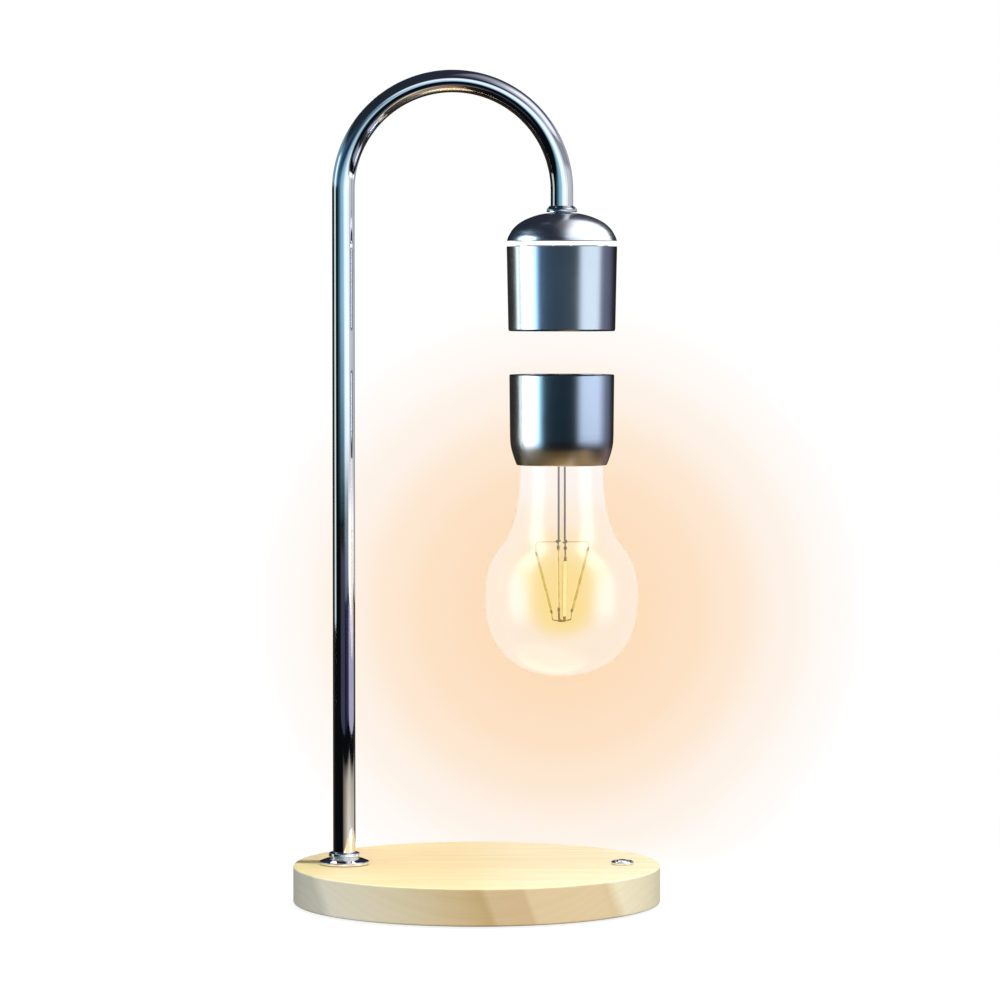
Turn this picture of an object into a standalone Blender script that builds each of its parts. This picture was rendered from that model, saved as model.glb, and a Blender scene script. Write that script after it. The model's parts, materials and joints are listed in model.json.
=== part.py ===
"""Levitating table lamp: a round pine base, a chromed inverted-U arm with an
electromagnet head at its end, and a filament bulb that hovers below the head.

Frame: origin at the centre of the base's underside (feet on Z = 0), +Z up,
+X from the arm's foot towards the push switch, +Y towards the back, where the
power inlet is. Lengths below are millimetres and are scaled to metres on use.
"""

import math

import bmesh
import bpy
from mathutils import Matrix, Vector

MM = 0.001

# ---- driving dimensions (mm) ------------------------------------------------
GAP = 0.3                 # clearance kept between touching pieces

BASE_R = 90.0             # wooden disc, 180 mm across
BASE_Z0 = 1.0             # its underside, held up by the feet
BASE_Z1 = 19.0            # its top: an 18 mm board
POCKET_Z = 14.0           # ceiling of the routed pocket for the electronics
PLATE_R = 84.0            # steel plate closing the underside
PLATE_Z0, PLATE_Z1 = 1.6, 3.1

ARM_X = -65.0             # foot of the arm
HEAD_X = 41.6             # axis of the head and of the floating bulb
SWITCH_X = 71.5           # push switch
TUBE_R = 5.5              # 11 mm tube
TUBE_BORE = 4.5
ARCH_R = (HEAD_X - ARM_X) / 2      # centre-line radius of the U bend
ARCH_X = (HEAD_X + ARM_X) / 2
ARCH_Z = 349.0            # centre of the bend
NIPPLE_R, NIPPLE_BORE = 4.2, 3.0   # hollow threaded studs in both tube ends
CABLE_R = 1.3

HEAD_Z0 = 280.6           # underside of the head
RING_Z0, RING_Z1 = 322.2, 324.5    # luminous ring
DOME_Z1 = 338.2           # crown of the dome

CUP_Z0, CUP_Z1 = 215.2, 259.4      # metal cup of the floating bulb
GLASS_R = 38.0            # widest radius of the glass
GLASS_Z = 150.0           # height of its widest place
GLASS_H = 38.6            # from there down to the bottom of the glass
GLASS_T = 0.8             # wall
NECK_R = 20.8

JACK_Z = 9.5              # axis height of the power inlet
SCREW_AT = 74.0           # radius of the plate screws' circle
FOOT_AT = 70.0            # radius of the feet's circle
BOARD_SCREWS = {"left": (-36.0, 12.5), "right": (18.0, -12.5)}

scene = bpy.context.scene
for old in list(bpy.data.objects):
    bpy.data.objects.remove(old, do_unlink=True)


# ---- materials --------------------------------------------------------------
def material(name, colour, roughness, metallic=0.0, alpha=1.0):
    m = bpy.data.materials.new(name)
    m.use_nodes = True
    p = m.node_tree.nodes["Principled BSDF"]
    p.inputs["Base Color"].default_value = (*colour, 1.0)
    p.inputs["Roughness"].default_value = roughness
    p.inputs["Metallic"].default_value = metallic
    p.inputs["Alpha"].default_value = alpha
    m.diffuse_color = (*colour, alpha)
    return m


PINE = material("pine", (0.80, 0.65, 0.40), 0.5)
CHROME = material("chrome", (0.78, 0.80, 0.83), 0.08, 1.0)
SATIN = material("satin_steel", (0.42, 0.45, 0.50), 0.25, 1.0)
ZINC = material("zinc", (0.60, 0.60, 0.58), 0.4, 1.0)
BLACK_STEEL = material("black_steel", (0.03, 0.03, 0.03), 0.5, 0.3)
RUBBER = material("rubber", (0.02, 0.02, 0.02), 0.9)
ABS = material("black_abs", (0.03, 0.03, 0.03), 0.45)
NYLON = material("white_nylon", (0.85, 0.84, 0.80), 0.5)
OPAL = material("opal", (0.95, 0.95, 0.95), 0.3)
PCB = material("board", (0.03, 0.16, 0.07), 0.5)
PARTS = material("components", (0.05, 0.05, 0.06), 0.5)
LED = material("led_phosphor", (0.90, 0.70, 0.20), 0.4)
IRON = material("soft_iron", (0.35, 0.35, 0.36), 0.45, 1.0)
MAGNET = material("magnet_nickel", (0.65, 0.66, 0.68), 0.2, 1.0)
FERRITE = material("ferrite", (0.08, 0.08, 0.09), 0.6)
COPPER = material("copper", (0.72, 0.36, 0.18), 0.3, 1.0)
BRASS = material("brass", (0.75, 0.58, 0.28), 0.3, 1.0)
GLASS = material("glass", (1.0, 0.97, 0.92), 0.02, 0.0, 0.3)
WIRE = material("lead_wire", (0.35, 0.22, 0.20), 0.35, 1.0)
PVC = material("cable_pvc", (0.04, 0.04, 0.05), 0.6)


# ---- building helpers -------------------------------------------------------
def empty(name, x=0.0, y=0.0, z=0.0):
    e = bpy.data.objects.new(name, None)
    e.location = (x * MM, y * MM, z * MM)
    scene.collection.objects.link(e)
    return e


def finish(name, bm, mat, parent, smooth=True, location=(0, 0, 0), angle=35.0):
    """Puts the bmesh, drawn in millimetres about its parent's axis, into a
    named object in metres."""
    bmesh.ops.remove_doubles(bm, verts=bm.verts, dist=0.0005)
    bmesh.ops.recalc_face_normals(bm, faces=bm.faces)
    bmesh.ops.scale(bm, vec=(MM, MM, MM), verts=bm.verts)
    me = bpy.data.meshes.new(name)
    bm.to_mesh(me)
    bm.free()
    me.materials.append(mat)
    if smooth:
        me.shade_smooth()
        me.set_sharp_from_angle(angle=math.radians(angle))
    ob = bpy.data.objects.new(name, me)
    ob.location = [c * MM for c in location]
    scene.collection.objects.link(ob)
    if parent:
        ob.parent = parent
    return ob


def turned(bm, profile, segs, closed=True, at=(0.0, 0.0), rot=None):
    """Spins an (r, z) outline about the vertical through `at`. A closed outline
    gives a ring; an open one starts and ends on the axis."""
    verts = [bm.verts.new((r, 0.0, z)) for r, z in profile]
    edges = [bm.edges.new((a, b)) for a, b in zip(verts, verts[1:])]
    if closed:
        edges.append(bm.edges.new((verts[-1], verts[0])))
    before = set(bm.verts) - set(verts)
    bmesh.ops.spin(bm, geom=verts + edges, cent=(0, 0, 0), axis=(0, 0, 1),
                   angle=2 * math.pi, steps=segs, use_merge=True, use_duplicate=False)
    made = [v for v in bm.verts if v not in before]
    bmesh.ops.remove_doubles(bm, verts=made, dist=0.0005)
    made = [v for v in bm.verts if v not in before]
    if rot is not None:
        bmesh.ops.transform(bm, matrix=rot, verts=made)
    bmesh.ops.translate(bm, vec=(at[0], at[1], 0.0), verts=made)
    return made


def lathe(name, profile, segs, mat, parent, closed=True, angle=35.0):
    bm = bmesh.new()
    turned(bm, profile, segs, closed)
    return finish(name, bm, mat, parent, angle=angle)


def add_disc(bm, r, z0, z1, segs, at=(0.0, 0.0)):
    return turned(bm, [(0, z0), (r, z0), (r, z1), (0, z1)], segs, False, at)


def add_ring(bm, r0, r1, z0, z1, segs, at=(0.0, 0.0)):
    return turned(bm, [(r0, z0), (r1, z0), (r1, z1), (r0, z1)], segs, True, at)


def add_box(bm, x0, x1, y0, y1, z0, z1):
    made = bmesh.ops.create_cube(bm, size=1.0)["verts"]
    bmesh.ops.scale(bm, vec=(x1 - x0, y1 - y0, z1 - z0), verts=made)
    bmesh.ops.translate(bm, vec=((x0 + x1) / 2, (y0 + y1) / 2, (z0 + z1) / 2), verts=made)
    return made


def round_corners(bm, made, radius, segments=4):
    """Rounds the four vertical edges of a box."""
    upright = [e for e in bm.edges if e.verts[0] in made and e.verts[1] in made
               and abs(e.verts[0].co.z - e.verts[1].co.z) > 1e-6
               and (e.verts[0].co.xy - e.verts[1].co.xy).length < 1e-6]
    bmesh.ops.bevel(bm, geom=upright, offset=radius, offset_type="OFFSET",
                    segments=segments, profile=0.5, affect="EDGES")


def add_rod(bm, a, b, r, segs=8):
    """A solid round rod from point a to point b."""
    a, b = Vector(a), Vector(b)
    d = b - a
    made = bmesh.ops.create_cone(bm, cap_ends=True, cap_tris=False, segments=segs,
                                 radius1=r, radius2=r, depth=d.length)["verts"]
    m = Matrix.Translation((a + b) / 2) @ d.to_track_quat("Z", "Y").to_matrix().to_4x4()
    bmesh.ops.transform(bm, matrix=m, verts=made)
    return made


def hexagon(bm, flats, z0, z1, at=(0.0, 0.0)):
    made = bmesh.ops.create_cone(bm, cap_ends=True, segments=6, radius1=flats / math.sqrt(3),
                                 radius2=flats / math.sqrt(3), depth=z1 - z0)["verts"]
    bmesh.ops.translate(bm, vec=(at[0], at[1], (z0 + z1) / 2), verts=made)
    return made


def cutter(name, bm, parent):
    ob = finish(name, bm, PARTS, parent, smooth=False)
    ob.hide_render = True
    ob.display_type = "WIRE"
    return ob


def boolean(target, tool, operation="DIFFERENCE"):
    mod = target.modifiers.new(tool.name, "BOOLEAN")
    mod.operation = operation
    mod.solver = "EXACT"
    mod.object = tool


def cable(name, points, r, mat, parent, resolution=2):
    """A round wire along the points, closed at both ends."""
    cu = bpy.data.curves.new(name, "CURVE")
    cu.dimensions = "3D"
    cu.bevel_depth = r * MM
    cu.bevel_resolution = resolution
    cu.use_fill_caps = True
    sp = cu.splines.new("POLY")
    sp.points.add(len(points) - 1)
    for p, q in zip(sp.points, points):
        p.co = (q[0] * MM, q[1] * MM, q[2] * MM, 1.0)
    cu.materials.append(mat)
    ob = bpy.data.objects.new(name, cu)
    scene.collection.objects.link(ob)
    if parent:
        ob.parent = parent
    return ob


def add_wire(bm, points, r, segs=8):
    """The same as a mesh: a polygon carried along the points without twisting."""
    pts = [Vector(p) for p in points]
    normal = None
    rows = []
    for i, p in enumerate(pts):
        d = (pts[min(i + 1, len(pts) - 1)] - pts[max(i - 1, 0)]).normalized()
        if normal is None:
            normal = d.orthogonal().normalized()
        normal = (normal - d * normal.dot(d)).normalized()
        side = d.cross(normal)
        rows.append([bm.verts.new(p + r * (math.cos(2 * math.pi * j / segs) * normal
                                           + math.sin(2 * math.pi * j / segs) * side)) for j in range(segs)])
    for a, b in zip(rows, rows[1:]):
        for j in range(segs):
            bm.faces.new((a[j], a[(j + 1) % segs], b[(j + 1) % segs], b[j]))
    bm.faces.new(rows[0][::-1])
    bm.faces.new(rows[-1])


def smooth_path(knots, steps):
    """Points of a Catmull-Rom curve through the knots, `steps` to each span."""
    k = [Vector(p) for p in knots]
    k = [2 * k[0] - k[1]] + k + [2 * k[-1] - k[-2]]
    out = []
    for i in range(1, len(k) - 2):
        for s in range(steps):
            t = s / steps
            a, b, c, d = k[i - 1], k[i], k[i + 1], k[i + 2]
            out.append(0.5 * ((2 * b) + (c - a) * t + (2 * a - 5 * b + 4 * c - d) * t * t
                              + (3 * b - a - 3 * c + d) * t ** 3))
    out.append(k[-2])
    return out


def ring_of(count, radius, start=0.0):
    return [(radius * math.cos(start + 2 * math.pi * i / count),
             radius * math.sin(start + 2 * math.pi * i / count)) for i in range(count)]


# ---- axes the pieces hang from ----------------------------------------------
stand = empty("stand_axis")
arm_axis = empty("arm_axis", ARM_X)
head_axis = empty("head_axis", HEAD_X)
bulb_axis = empty("bulb_axis", HEAD_X)        # the floating bulb spins and bobs on it
switch_axis = empty("switch_axis", SWITCH_X)  # the button travels along it
for e in (arm_axis, head_axis, bulb_axis, switch_axis):
    e.parent = stand

# ============================ BASE ===========================================
base = lathe("base_board",
             [(0, BASE_Z0), (BASE_R - 0.7, BASE_Z0), (BASE_R, BASE_Z0 + 0.7), (BASE_R, BASE_Z1 - 1.0),
              (BASE_R - 0.3, BASE_Z1 - 0.3), (BASE_R - 1.0, BASE_Z1), (0, BASE_Z1)], 72, PINE, stand, closed=False)

bm = bmesh.new()
add_disc(bm, PLATE_R + GAP, BASE_Z0 - 2, PLATE_Z1 + GAP, 56)
boolean(base, cutter("cut_plate_recess", bm, stand))
bm = bmesh.new()
box = add_box(bm, -79, 79, -22, 22, 0, POCKET_Z)
round_corners(bm, set(box), 8.0, 3)
boolean(base, cutter("cut_pocket", bm, stand))
bm = bmesh.new()
box = add_box(bm, -14, 14, -10, 79, 0, POCKET_Z)
round_corners(bm, set(box), 5.0, 2)
boolean(base, cutter("cut_inlet_pocket", bm, stand))
bm = bmesh.new()
add_rod(bm, (0, 76, JACK_Z), (0, 94, JACK_Z), 4.8, 16)
boolean(base, cutter("cut_inlet_hole", bm, stand))
bm = bmesh.new()
for at in BOARD_SCREWS.values():
    add_disc(bm, 4.0, 11.5, POCKET_Z + 1.0, 10, at=at)
boolean(base, cutter("add_board_bosses", bm, stand), "UNION")
bm = bmesh.new()
add_disc(bm, NIPPLE_R + 0.4, 10, 25, 16, at=(ARM_X, 0))
add_disc(bm, 4.85, 10, 25, 20, at=(SWITCH_X, 0))
for x, y in ring_of(3, SCREW_AT, math.pi / 6):
    add_disc(bm, 1.9, 0, 12.6, 8, at=(x, y))
for at in BOARD_SCREWS.values():
    add_disc(bm, 1.5, 10, 17.3, 8, at=at)
boolean(base, cutter("cut_holes", bm, stand))

plate = lathe("bottom_plate", [(0, PLATE_Z0), (PLATE_R, PLATE_Z0), (PLATE_R, PLATE_Z1), (0, PLATE_Z1)],
              56, BLACK_STEEL, stand, closed=False)
bm = bmesh.new()
for x, y in ring_of(3, SCREW_AT, math.pi / 6):
    add_disc(bm, 2.0, 0, 5, 8, at=(x, y))
boolean(plate, cutter("cut_plate_holes", bm, stand))

for side, (x, y) in zip(("back_right", "back_left", "front_left", "front_right"), ring_of(4, FOOT_AT, math.pi / 4)):
    bm = bmesh.new()
    turned(bm, [(0, 0), (7.6, 0), (8.0, 0.4), (8.0, 1.3), (0, 1.3)], 16, False)
    finish("foot_" + side, bm, RUBBER, stand, location=(x, y, 0))
for side, (x, y) in zip(("right", "left", "front"), ring_of(3, SCREW_AT, math.pi / 6)):
    bm = bmesh.new()
    turned(bm, [(0, 0.4), (2.2, 0.4), (3.0, 0.9), (3.0, 1.3), (1.5, 1.3), (1.5, 11.0), (0, 12.2)], 8, False)
    finish("plate_screw_" + side, bm, ZINC, stand, location=(x, y, 0))

# electronics in the pocket: the board with the parts soldered to its underside
bm = bmesh.new()
add_box(bm, -40, 22, -17, 17, 9.6, 11.2)
board = finish("control_board", bm, PCB, stand, smooth=False)
bm = bmesh.new()
add_box(bm, -39, -32.6, -4, 4, 4.0, 9.9)          # plug for the arm cable
add_box(bm, -5, 5, 11, 16.4, 5.0, 9.9)            # plug for the inlet cable
add_box(bm, 15.6, 21.4, -4, 4, 5.0, 9.9)          # plug for the switch cable
add_disc(bm, 4.8, 4.3, 9.9, 12, at=(-20, -7))     # choke
add_disc(bm, 3.9, 4.1, 9.9, 12, at=(-19, 8))      # smoothing capacitor
add_box(bm, -9, -1, -6, -1, 7.7, 9.9)             # controller
add_box(bm, 4, 9, 2, 7, 8.0, 9.9)                 # regulator
add_box(bm, 4, 8, -10, -7, 8.0, 9.9)
boolean(board, cutter("add_control_parts", bm, stand), "UNION")
bm = bmesh.new()
for at in BOARD_SCREWS.values():
    add_disc(bm, 1.6, 8, 13, 8, at=at)
boolean(board, cutter("cut_board_holes", bm, stand))
for side, (x, y) in BOARD_SCREWS.items():
    bm = bmesh.new()
    turned(bm, [(0, 7.6), (1.8, 7.6), (2.5, 8.3), (2.5, 9.3), (1.2, 9.3), (1.2, 17.0), (0, 17.0)], 8, False)
    finish("board_screw_" + side, bm, ZINC, stand, location=(x, y, 0))

# power inlet, at the back
bm = bmesh.new()
add_box(bm, -4.5, 4.5, 66, 76.5, JACK_Z - 4.4, JACK_Z + 4.4)
jack = finish("dc_inlet", bm, ABS, stand, smooth=False)
bm = bmesh.new()
add_rod(bm, (0, 75.0, JACK_Z), (0, 84.5, JACK_Z), 4.35, 16)
boolean(jack, cutter("add_inlet_barrel", bm, stand), "UNION")
bm = bmesh.new()
add_rod(bm, (0, 74.0, JACK_Z), (0, 86.0, JACK_Z), 2.8, 14)
boolean(jack, cutter("cut_inlet_bore", bm, stand))
bm = bmesh.new()
add_rod(bm, (0, 74.3, JACK_Z), (0, 83.2, JACK_Z), 1.0, 12)
finish("dc_inlet_pin", bm, BRASS, stand)

cable("inlet_cable", smooth_path([(0, 65.7, 7.6), (0, 54, 5.8), (0, 34, 5.2), (0, 16.7, 7.2)], 3), 1.5, PVC, stand)

# push switch: housing, sprung button, contact block and nut
lathe("switch_bezel",
      [(1.8, 9.0), (4.5, 9.0), (4.5, 19.3), (5.4, 19.3), (5.5, 19.6), (5.5, 20.0), (5.2, 20.5),
       (4.6, 20.75), (4.0, 20.7), (3.8, 20.4), (3.8, 10.4), (1.8, 10.4)], 20, CHROME, switch_axis)
lathe("switch_button",
      [(0, 8.0), (1.5, 8.0), (1.5, 17.0), (3.5, 17.0), (3.5, 20.2), (3.2, 20.8), (2.4, 21.2),
       (1.3, 21.4), (0, 21.45)], 20, CHROME, switch_axis, closed=False)
lathe("switch_block",
      [(0, 4.0), (4.3, 4.0), (4.3, 8.7), (1.9, 8.7), (1.9, 6.2), (0, 6.2)], 16, ABS, switch_axis, closed=False)
bm = bmesh.new()
hexagon(bm, 11.5, 11.2, 13.7)
nut = finish("switch_nut", bm, ZINC, switch_axis, smooth=False)
bm = bmesh.new()
add_disc(bm, 4.85, 10, 15, 16)
boolean(nut, cutter("cut_switch_nut", bm, switch_axis))
SPRING_R, SPRING_Z0, SPRING_Z1, SPRING_TURNS = 2.65, 10.95, 16.45, 3.5
cable("switch_spring",
      [(SPRING_R * math.cos(a), SPRING_R * math.sin(a), SPRING_Z0 + (SPRING_Z1 - SPRING_Z0) * i / 28)
       for i in range(29) for a in [2 * math.pi * SPRING_TURNS * i / 28]], 0.25, ZINC, switch_axis, resolution=0)
cable("switch_cable", smooth_path([(66.8, 0, 6.2), (55, 0, 5.2), (38, 0, 5.4), (21.8, 0, 7.2)], 3), 1.4, PVC, stand)

# ============================ ARM ============================================
lathe("arm_flange",
      [(5.85, 19.3), (11.9, 19.3), (12.25, 19.7), (12.25, 20.5), (11.8, 21.0), (9.4, 21.8),
       (7.9, 22.3), (7.0, 22.7), (7.6, 23.4), (7.4, 24.6), (6.6, 25.1), (5.85, 25.1)],
      28, CHROME, arm_axis)
lathe("arm_stud", [(NIPPLE_BORE, 7.4), (NIPPLE_R, 7.4), (NIPPLE_R, 42), (NIPPLE_BORE, 42)], 14, ZINC, arm_axis)
lathe("arm_washer", [(4.6, 12.5), (10, 12.5), (10, 13.7), (4.6, 13.7)], 16, ZINC, arm_axis)
bm = bmesh.new()
hexagon(bm, 13, 8.2, 12.2)
nut = finish("arm_nut", bm, ZINC, arm_axis, smooth=False)
bm = bmesh.new()
add_disc(bm, 4.6, 7, 14, 14)
boolean(nut, cutter("cut_arm_nut", bm, arm_axis))

# bent tube: an outer and an inner circle carried up the leg, over the bend and
# down to the head, joined to each other at the two ends
TUBE_SEGS, ARCH_STEPS = 16, 20
bm = bmesh.new()


def tube_rows(x, z, turn):
    """The outer and the inner circle of the tube where it has turned by this
    much from pointing straight up."""
    across = Vector((math.cos(turn), 0, -math.sin(turn)))
    return [[bm.verts.new(Vector((x, 0, z)) + r * (math.cos(a) * across + math.sin(a) * Vector((0, 1, 0))))
             for a in (2 * math.pi * i / TUBE_SEGS for i in range(TUBE_SEGS))] for r in (TUBE_R, TUBE_BORE)]


rows = [tube_rows(ARM_X, BASE_Z1 + GAP, 0.0)]
for i in range(ARCH_STEPS + 1):
    a = math.pi * i / ARCH_STEPS
    rows.append(tube_rows(ARCH_X - ARCH_R * math.cos(a), ARCH_Z + ARCH_R * math.sin(a), a))
rows.append(tube_rows(HEAD_X, DOME_Z1 + GAP, math.pi))
for (out_a, in_a), (out_b, in_b) in zip(rows, rows[1:]):
    for i in range(TUBE_SEGS):
        k = (i + 1) % TUBE_SEGS
        bm.faces.new((out_a[i], out_a[k], out_b[k], out_b[i]))
        bm.faces.new((in_a[k], in_a[i], in_b[i], in_b[k]))
for outside, inside in (rows[0], rows[-1]):
    for i in range(TUBE_SEGS):
        k = (i + 1) % TUBE_SEGS
        bm.faces.new((outside[i], outside[k], inside[k], inside[i]))
finish("arm_tube", bm, CHROME, stand)

lathe("neck_collar",
      [(5.85, 338.6), (7.3, 338.6), (7.45, 338.9), (7.45, 339.5), (7.15, 340.2), (6.6, 340.9), (6.15, 341.5),
       (5.85, 341.6)],
      24, CHROME, head_axis)

# cable inside the arm: from its plug in the base, through both studs, to the head
low, bend = 5.4, 5.0
route = [(-39.3, 0, low), (-45, 0, low), (-52, 0, low), (-58, 0, low)]
for i in range(0, 5):
    a = math.radians(90 * i / 4)
    route.append((ARM_X + bend - bend * math.sin(a), 0, low + bend - bend * math.cos(a)))
route += [(ARM_X, 0, z) for z in (20, 130, 240)]
for i in range(0, 17):
    a = math.pi - math.pi * i / 16
    route.append((ARCH_X + ARCH_R * math.cos(a), 0, ARCH_Z + ARCH_R * math.sin(a)))
route += [(HEAD_X, 0, z) for z in (340, 333, 326.3)]
cable("arm_cable", route, CABLE_R, PVC, stand)

# ============================ HEAD ===========================================
lathe("head_stud", [(NIPPLE_BORE, 329.0), (NIPPLE_R, 329.0), (NIPPLE_R, 347.5), (NIPPLE_BORE, 347.5)],
      14, ZINC, head_axis)
bm = bmesh.new()
hexagon(bm, 12, 330.2, 334.2)
nut = finish("head_nut", bm, ZINC, head_axis, smooth=False)
bm = bmesh.new()
add_disc(bm, 4.6, 328, 336, 14)
boolean(nut, cutter("cut_head_nut", bm, head_axis))
lathe("head_washer", [(4.6, 334.6), (8.0, 334.6), (8.0, 335.7), (4.6, 335.7)], 16, ZINC, head_axis)

lathe("head_dome",
      [(24.6, 324.8), (26.75, 324.8), (26.3, 326.3), (25.5, 327.9), (24.3, 329.9), (22.6, 331.75),
       (20.4, 333.5), (17.6, 335.05), (14.0, 336.5), (9.6, 337.7), (4.7, 338.2),
       (4.7, 336.3), (14.0, 334.6), (20.6, 330.6), (24.2, 326.2)],
      36, SATIN, head_axis)
lathe("light_ring",
      [(24.9, RING_Z0), (26.7, RING_Z0), (26.95, RING_Z0 + 0.3), (26.95, RING_Z1 - 0.3), (26.7, RING_Z1),
       (24.9, RING_Z1)], 36, OPAL, head_axis)
lathe("head_sleeve",
      [(24.5, HEAD_Z0), (25.3, HEAD_Z0), (25.85, HEAD_Z0 + 0.25), (26.12, HEAD_Z0 + 0.9),
       (26.95, 321.6), (26.7, 321.9), (24.5, 321.9)], 36, SATIN, head_axis)

lathe("head_cover",
      [(0, 281.0), (24.0, 281.0), (24.2, 281.2), (24.2, 286.5), (23.5, 286.5), (23.5, 282.8), (0, 282.8)],
      36, ABS, head_axis, closed=False)

# chassis: a top plate on three posts that stand on the cover
bm = bmesh.new()
add_disc(bm, 24.1, 316.9, 319.3, 30)
chassis = finish("head_chassis", bm, ABS, head_axis)
bm = bmesh.new()
for x, y in ring_of(3, 20.9, math.pi / 2):
    add_disc(bm, 2.2, 283.1, 317.6, 10, at=(x, y))
boolean(chassis, cutter("add_chassis_posts", bm, head_axis), "UNION")

lathe("transmitter_coil", [(10.6, 283.2), (17.9, 283.2), (17.9, 286.4), (10.6, 286.4)], 24, COPPER, head_axis)
sensor = lathe("hall_board", [(0, 284.9), (9.6, 284.9), (9.6, 286.0), (0, 286.0)], 16, PCB, head_axis, closed=False)
bm = bmesh.new()
add_box(bm, -2.0, 2.0, -1.5, 1.5, 283.2, 285.2)       # the position sensor, on the axis
add_box(bm, 4.2, 6.2, -0.7, 0.7, 283.8, 285.2)
add_box(bm, -6.2, -4.2, -0.7, 0.7, 283.8, 285.2)
boolean(sensor, cutter("add_hall_sensor", bm, head_axis), "UNION")
lathe("magnet_core", [(0, 286.9), (7.0, 286.9), (7.0, 312.9), (0, 312.9)], 16, IRON, head_axis, closed=False)
lathe("coil_bobbin",
      [(7.3, 286.9), (18.2, 286.9), (18.2, 288.2), (8.5, 288.2), (8.5, 311.2), (18.2, 311.2), (18.2, 312.5),
       (7.3, 312.5)], 24, ABS, head_axis)
lathe("coil_winding", [(8.9, 288.5), (17.2, 288.5), (17.2, 310.9), (8.9, 310.9)], 24, COPPER, head_axis)
lathe("bias_magnet", [(0, 313.2), (12.0, 313.2), (12.0, 316.6), (0, 316.6)], 20, MAGNET, head_axis, closed=False)

driver = lathe("driver_board", [(0, 319.6), (20.0, 319.6), (20.0, 321.2), (0, 321.2)], 24, PCB, head_axis, closed=False)
bm = bmesh.new()
add_box(bm, -4, 4, -3, 3, 320.8, 326.0)               # plug for the arm cable
add_disc(bm, 3.2, 320.8, 327.5, 10, at=(-11, 4))      # capacitors
add_disc(bm, 3.2, 320.8, 327.5, 10, at=(-10, -6))
add_ring(bm, 2.2, 4.8, 320.8, 325.0, 12, at=(11.5, 5))    # toroid choke
add_box(bm, 8, 15, -8, -3, 320.8, 323.6)              # bridge transistors
add_box(bm, -3, 3, 9, 14, 320.8, 322.9)               # controller
add_box(bm, -3, 1, -12, -9, 320.8, 322.6)
boolean(driver, cutter("add_driver_parts", bm, head_axis), "UNION")

leds = lathe("ring_led_board", [(20.6, 319.6), (24.1, 319.6), (24.1, 320.6), (20.6, 320.6)], 24, PCB, head_axis)
bm = bmesh.new()
for x, y in ring_of(12, 22.3, math.pi / 12):
    made = add_box(bm, -0.9, 0.9, -0.9, 0.9, 320.3, 322.6)
    bmesh.ops.rotate(bm, cent=(0, 0, 0), matrix=Matrix.Rotation(math.atan2(y, x), 3, "Z"), verts=made)
    bmesh.ops.translate(bm, vec=(x, y, 0), verts=made)
boolean(leds, cutter("add_ring_leds", bm, head_axis), "UNION")

# ============================ FLOATING BULB ==================================
lathe("bulb_cup",
      [(21.25, CUP_Z0 + 0.4), (21.6, CUP_Z0), (22.1, CUP_Z0 + 0.4), (22.9, 217.4), (23.8, 220.2), (24.75, 223.6),
       (25.2, 226.0), (25.4, 231.0), (25.62, 258.9), (25.25, CUP_Z1), (24.3, CUP_Z1),
       (24.2, 228.5), (22.8, 222.0), (21.25, 217.0)], 36, SATIN, bulb_axis)
lathe("cup_lid", [(0, 257.2), (23.9, 257.2), (23.9, 258.8), (23.7, 259.0), (0, 259.0)], 36, ABS, bulb_axis,
      closed=False)
lathe("lift_magnet", [(0, 249.4), (10.7, 249.4), (11.0, 249.7), (11.0, 255.9), (10.7, 256.2), (0, 256.2)],
      20, MAGNET, bulb_axis, closed=False)
lathe("magnet_tray",
      [(0, 247.8), (12.6, 247.8), (12.6, 250.8), (23.7, 250.8), (23.7, 256.8), (22.6, 256.8), (22.6, 252.3),
       (12.7, 252.3), (12.7, 256.4), (11.4, 256.4), (11.4, 249.1), (0, 249.1)], 24, ABS, bulb_axis, closed=False)
lathe("receiver_coil", [(13.2, 252.7), (22.1, 252.7), (22.1, 256.4), (13.2, 256.4)], 24, COPPER, bulb_axis)
supply = lathe("receiver_board", [(0, 244.0), (22.5, 244.0), (22.5, 245.4), (0, 245.4)], 24, PCB, bulb_axis, closed=False)
bm = bmesh.new()
add_disc(bm, 3.0, 240.6, 244.4, 10, at=(8, 5))
add_disc(bm, 3.0, 240.6, 244.4, 10, at=(8, -5))
add_box(bm, -13, -7, -3, 3, 241.8, 244.4)
add_box(bm, -3, 3, 8, 12, 242.3, 244.4)
add_box(bm, -5, -1, -12, -9, 242.5, 244.4)
add_box(bm, -4, 4, -3, 3, 245.0, 247.2)
boolean(supply, cutter("add_receiver_parts", bm, bulb_axis), "UNION")
lathe("neck_ring",
      [(21.1, 229.5), (23.5, 229.5), (23.8, 230.0), (23.8, 239.8), (14.0, 239.8), (14.0, 238.4), (21.1, 238.4)],
      28, ABS, bulb_axis)


def glass_radius(z):
    """Outer radius of the glass where it is a rounded belly."""
    t = abs(z - GLASS_Z) / GLASS_H
    return GLASS_R * max(0.0, 1.0 - t ** 2.25) ** (1 / 2.25)


outer = [(0.0, GLASS_Z - GLASS_H)]
for t in (0.14, 0.28, 0.42, 0.58, 0.76):
    z = GLASS_Z - GLASS_H * math.cos(t * math.pi / 2)
    outer.append((glass_radius(z), z))
outer += [(glass_radius(z), z) for z in (149.0, 158.0, 166.0, 172.5)]
outer += [(30.4, 175.6), (26.3, 182.0), (23.2, 188.6), (21.6, 196.0), (NECK_R, 209.0), (NECK_R, 238.0)]
inner = []
for i in range(len(outer)):                      # the same line, one wall further in
    a = Vector((*outer[max(0, i - 1)], 0))
    b = Vector((*outer[min(len(outer) - 1, i + 1)], 0))
    n = Vector((-(b - a).y, (b - a).x, 0)).normalized()
    p = Vector((*outer[i], 0)) + n * GLASS_T
    inner.append((max(0.0, p.x), p.y))
inner[0] = (0.0, outer[0][1] + GLASS_T)
inner[-1] = (NECK_R - GLASS_T, 238.0)
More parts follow.
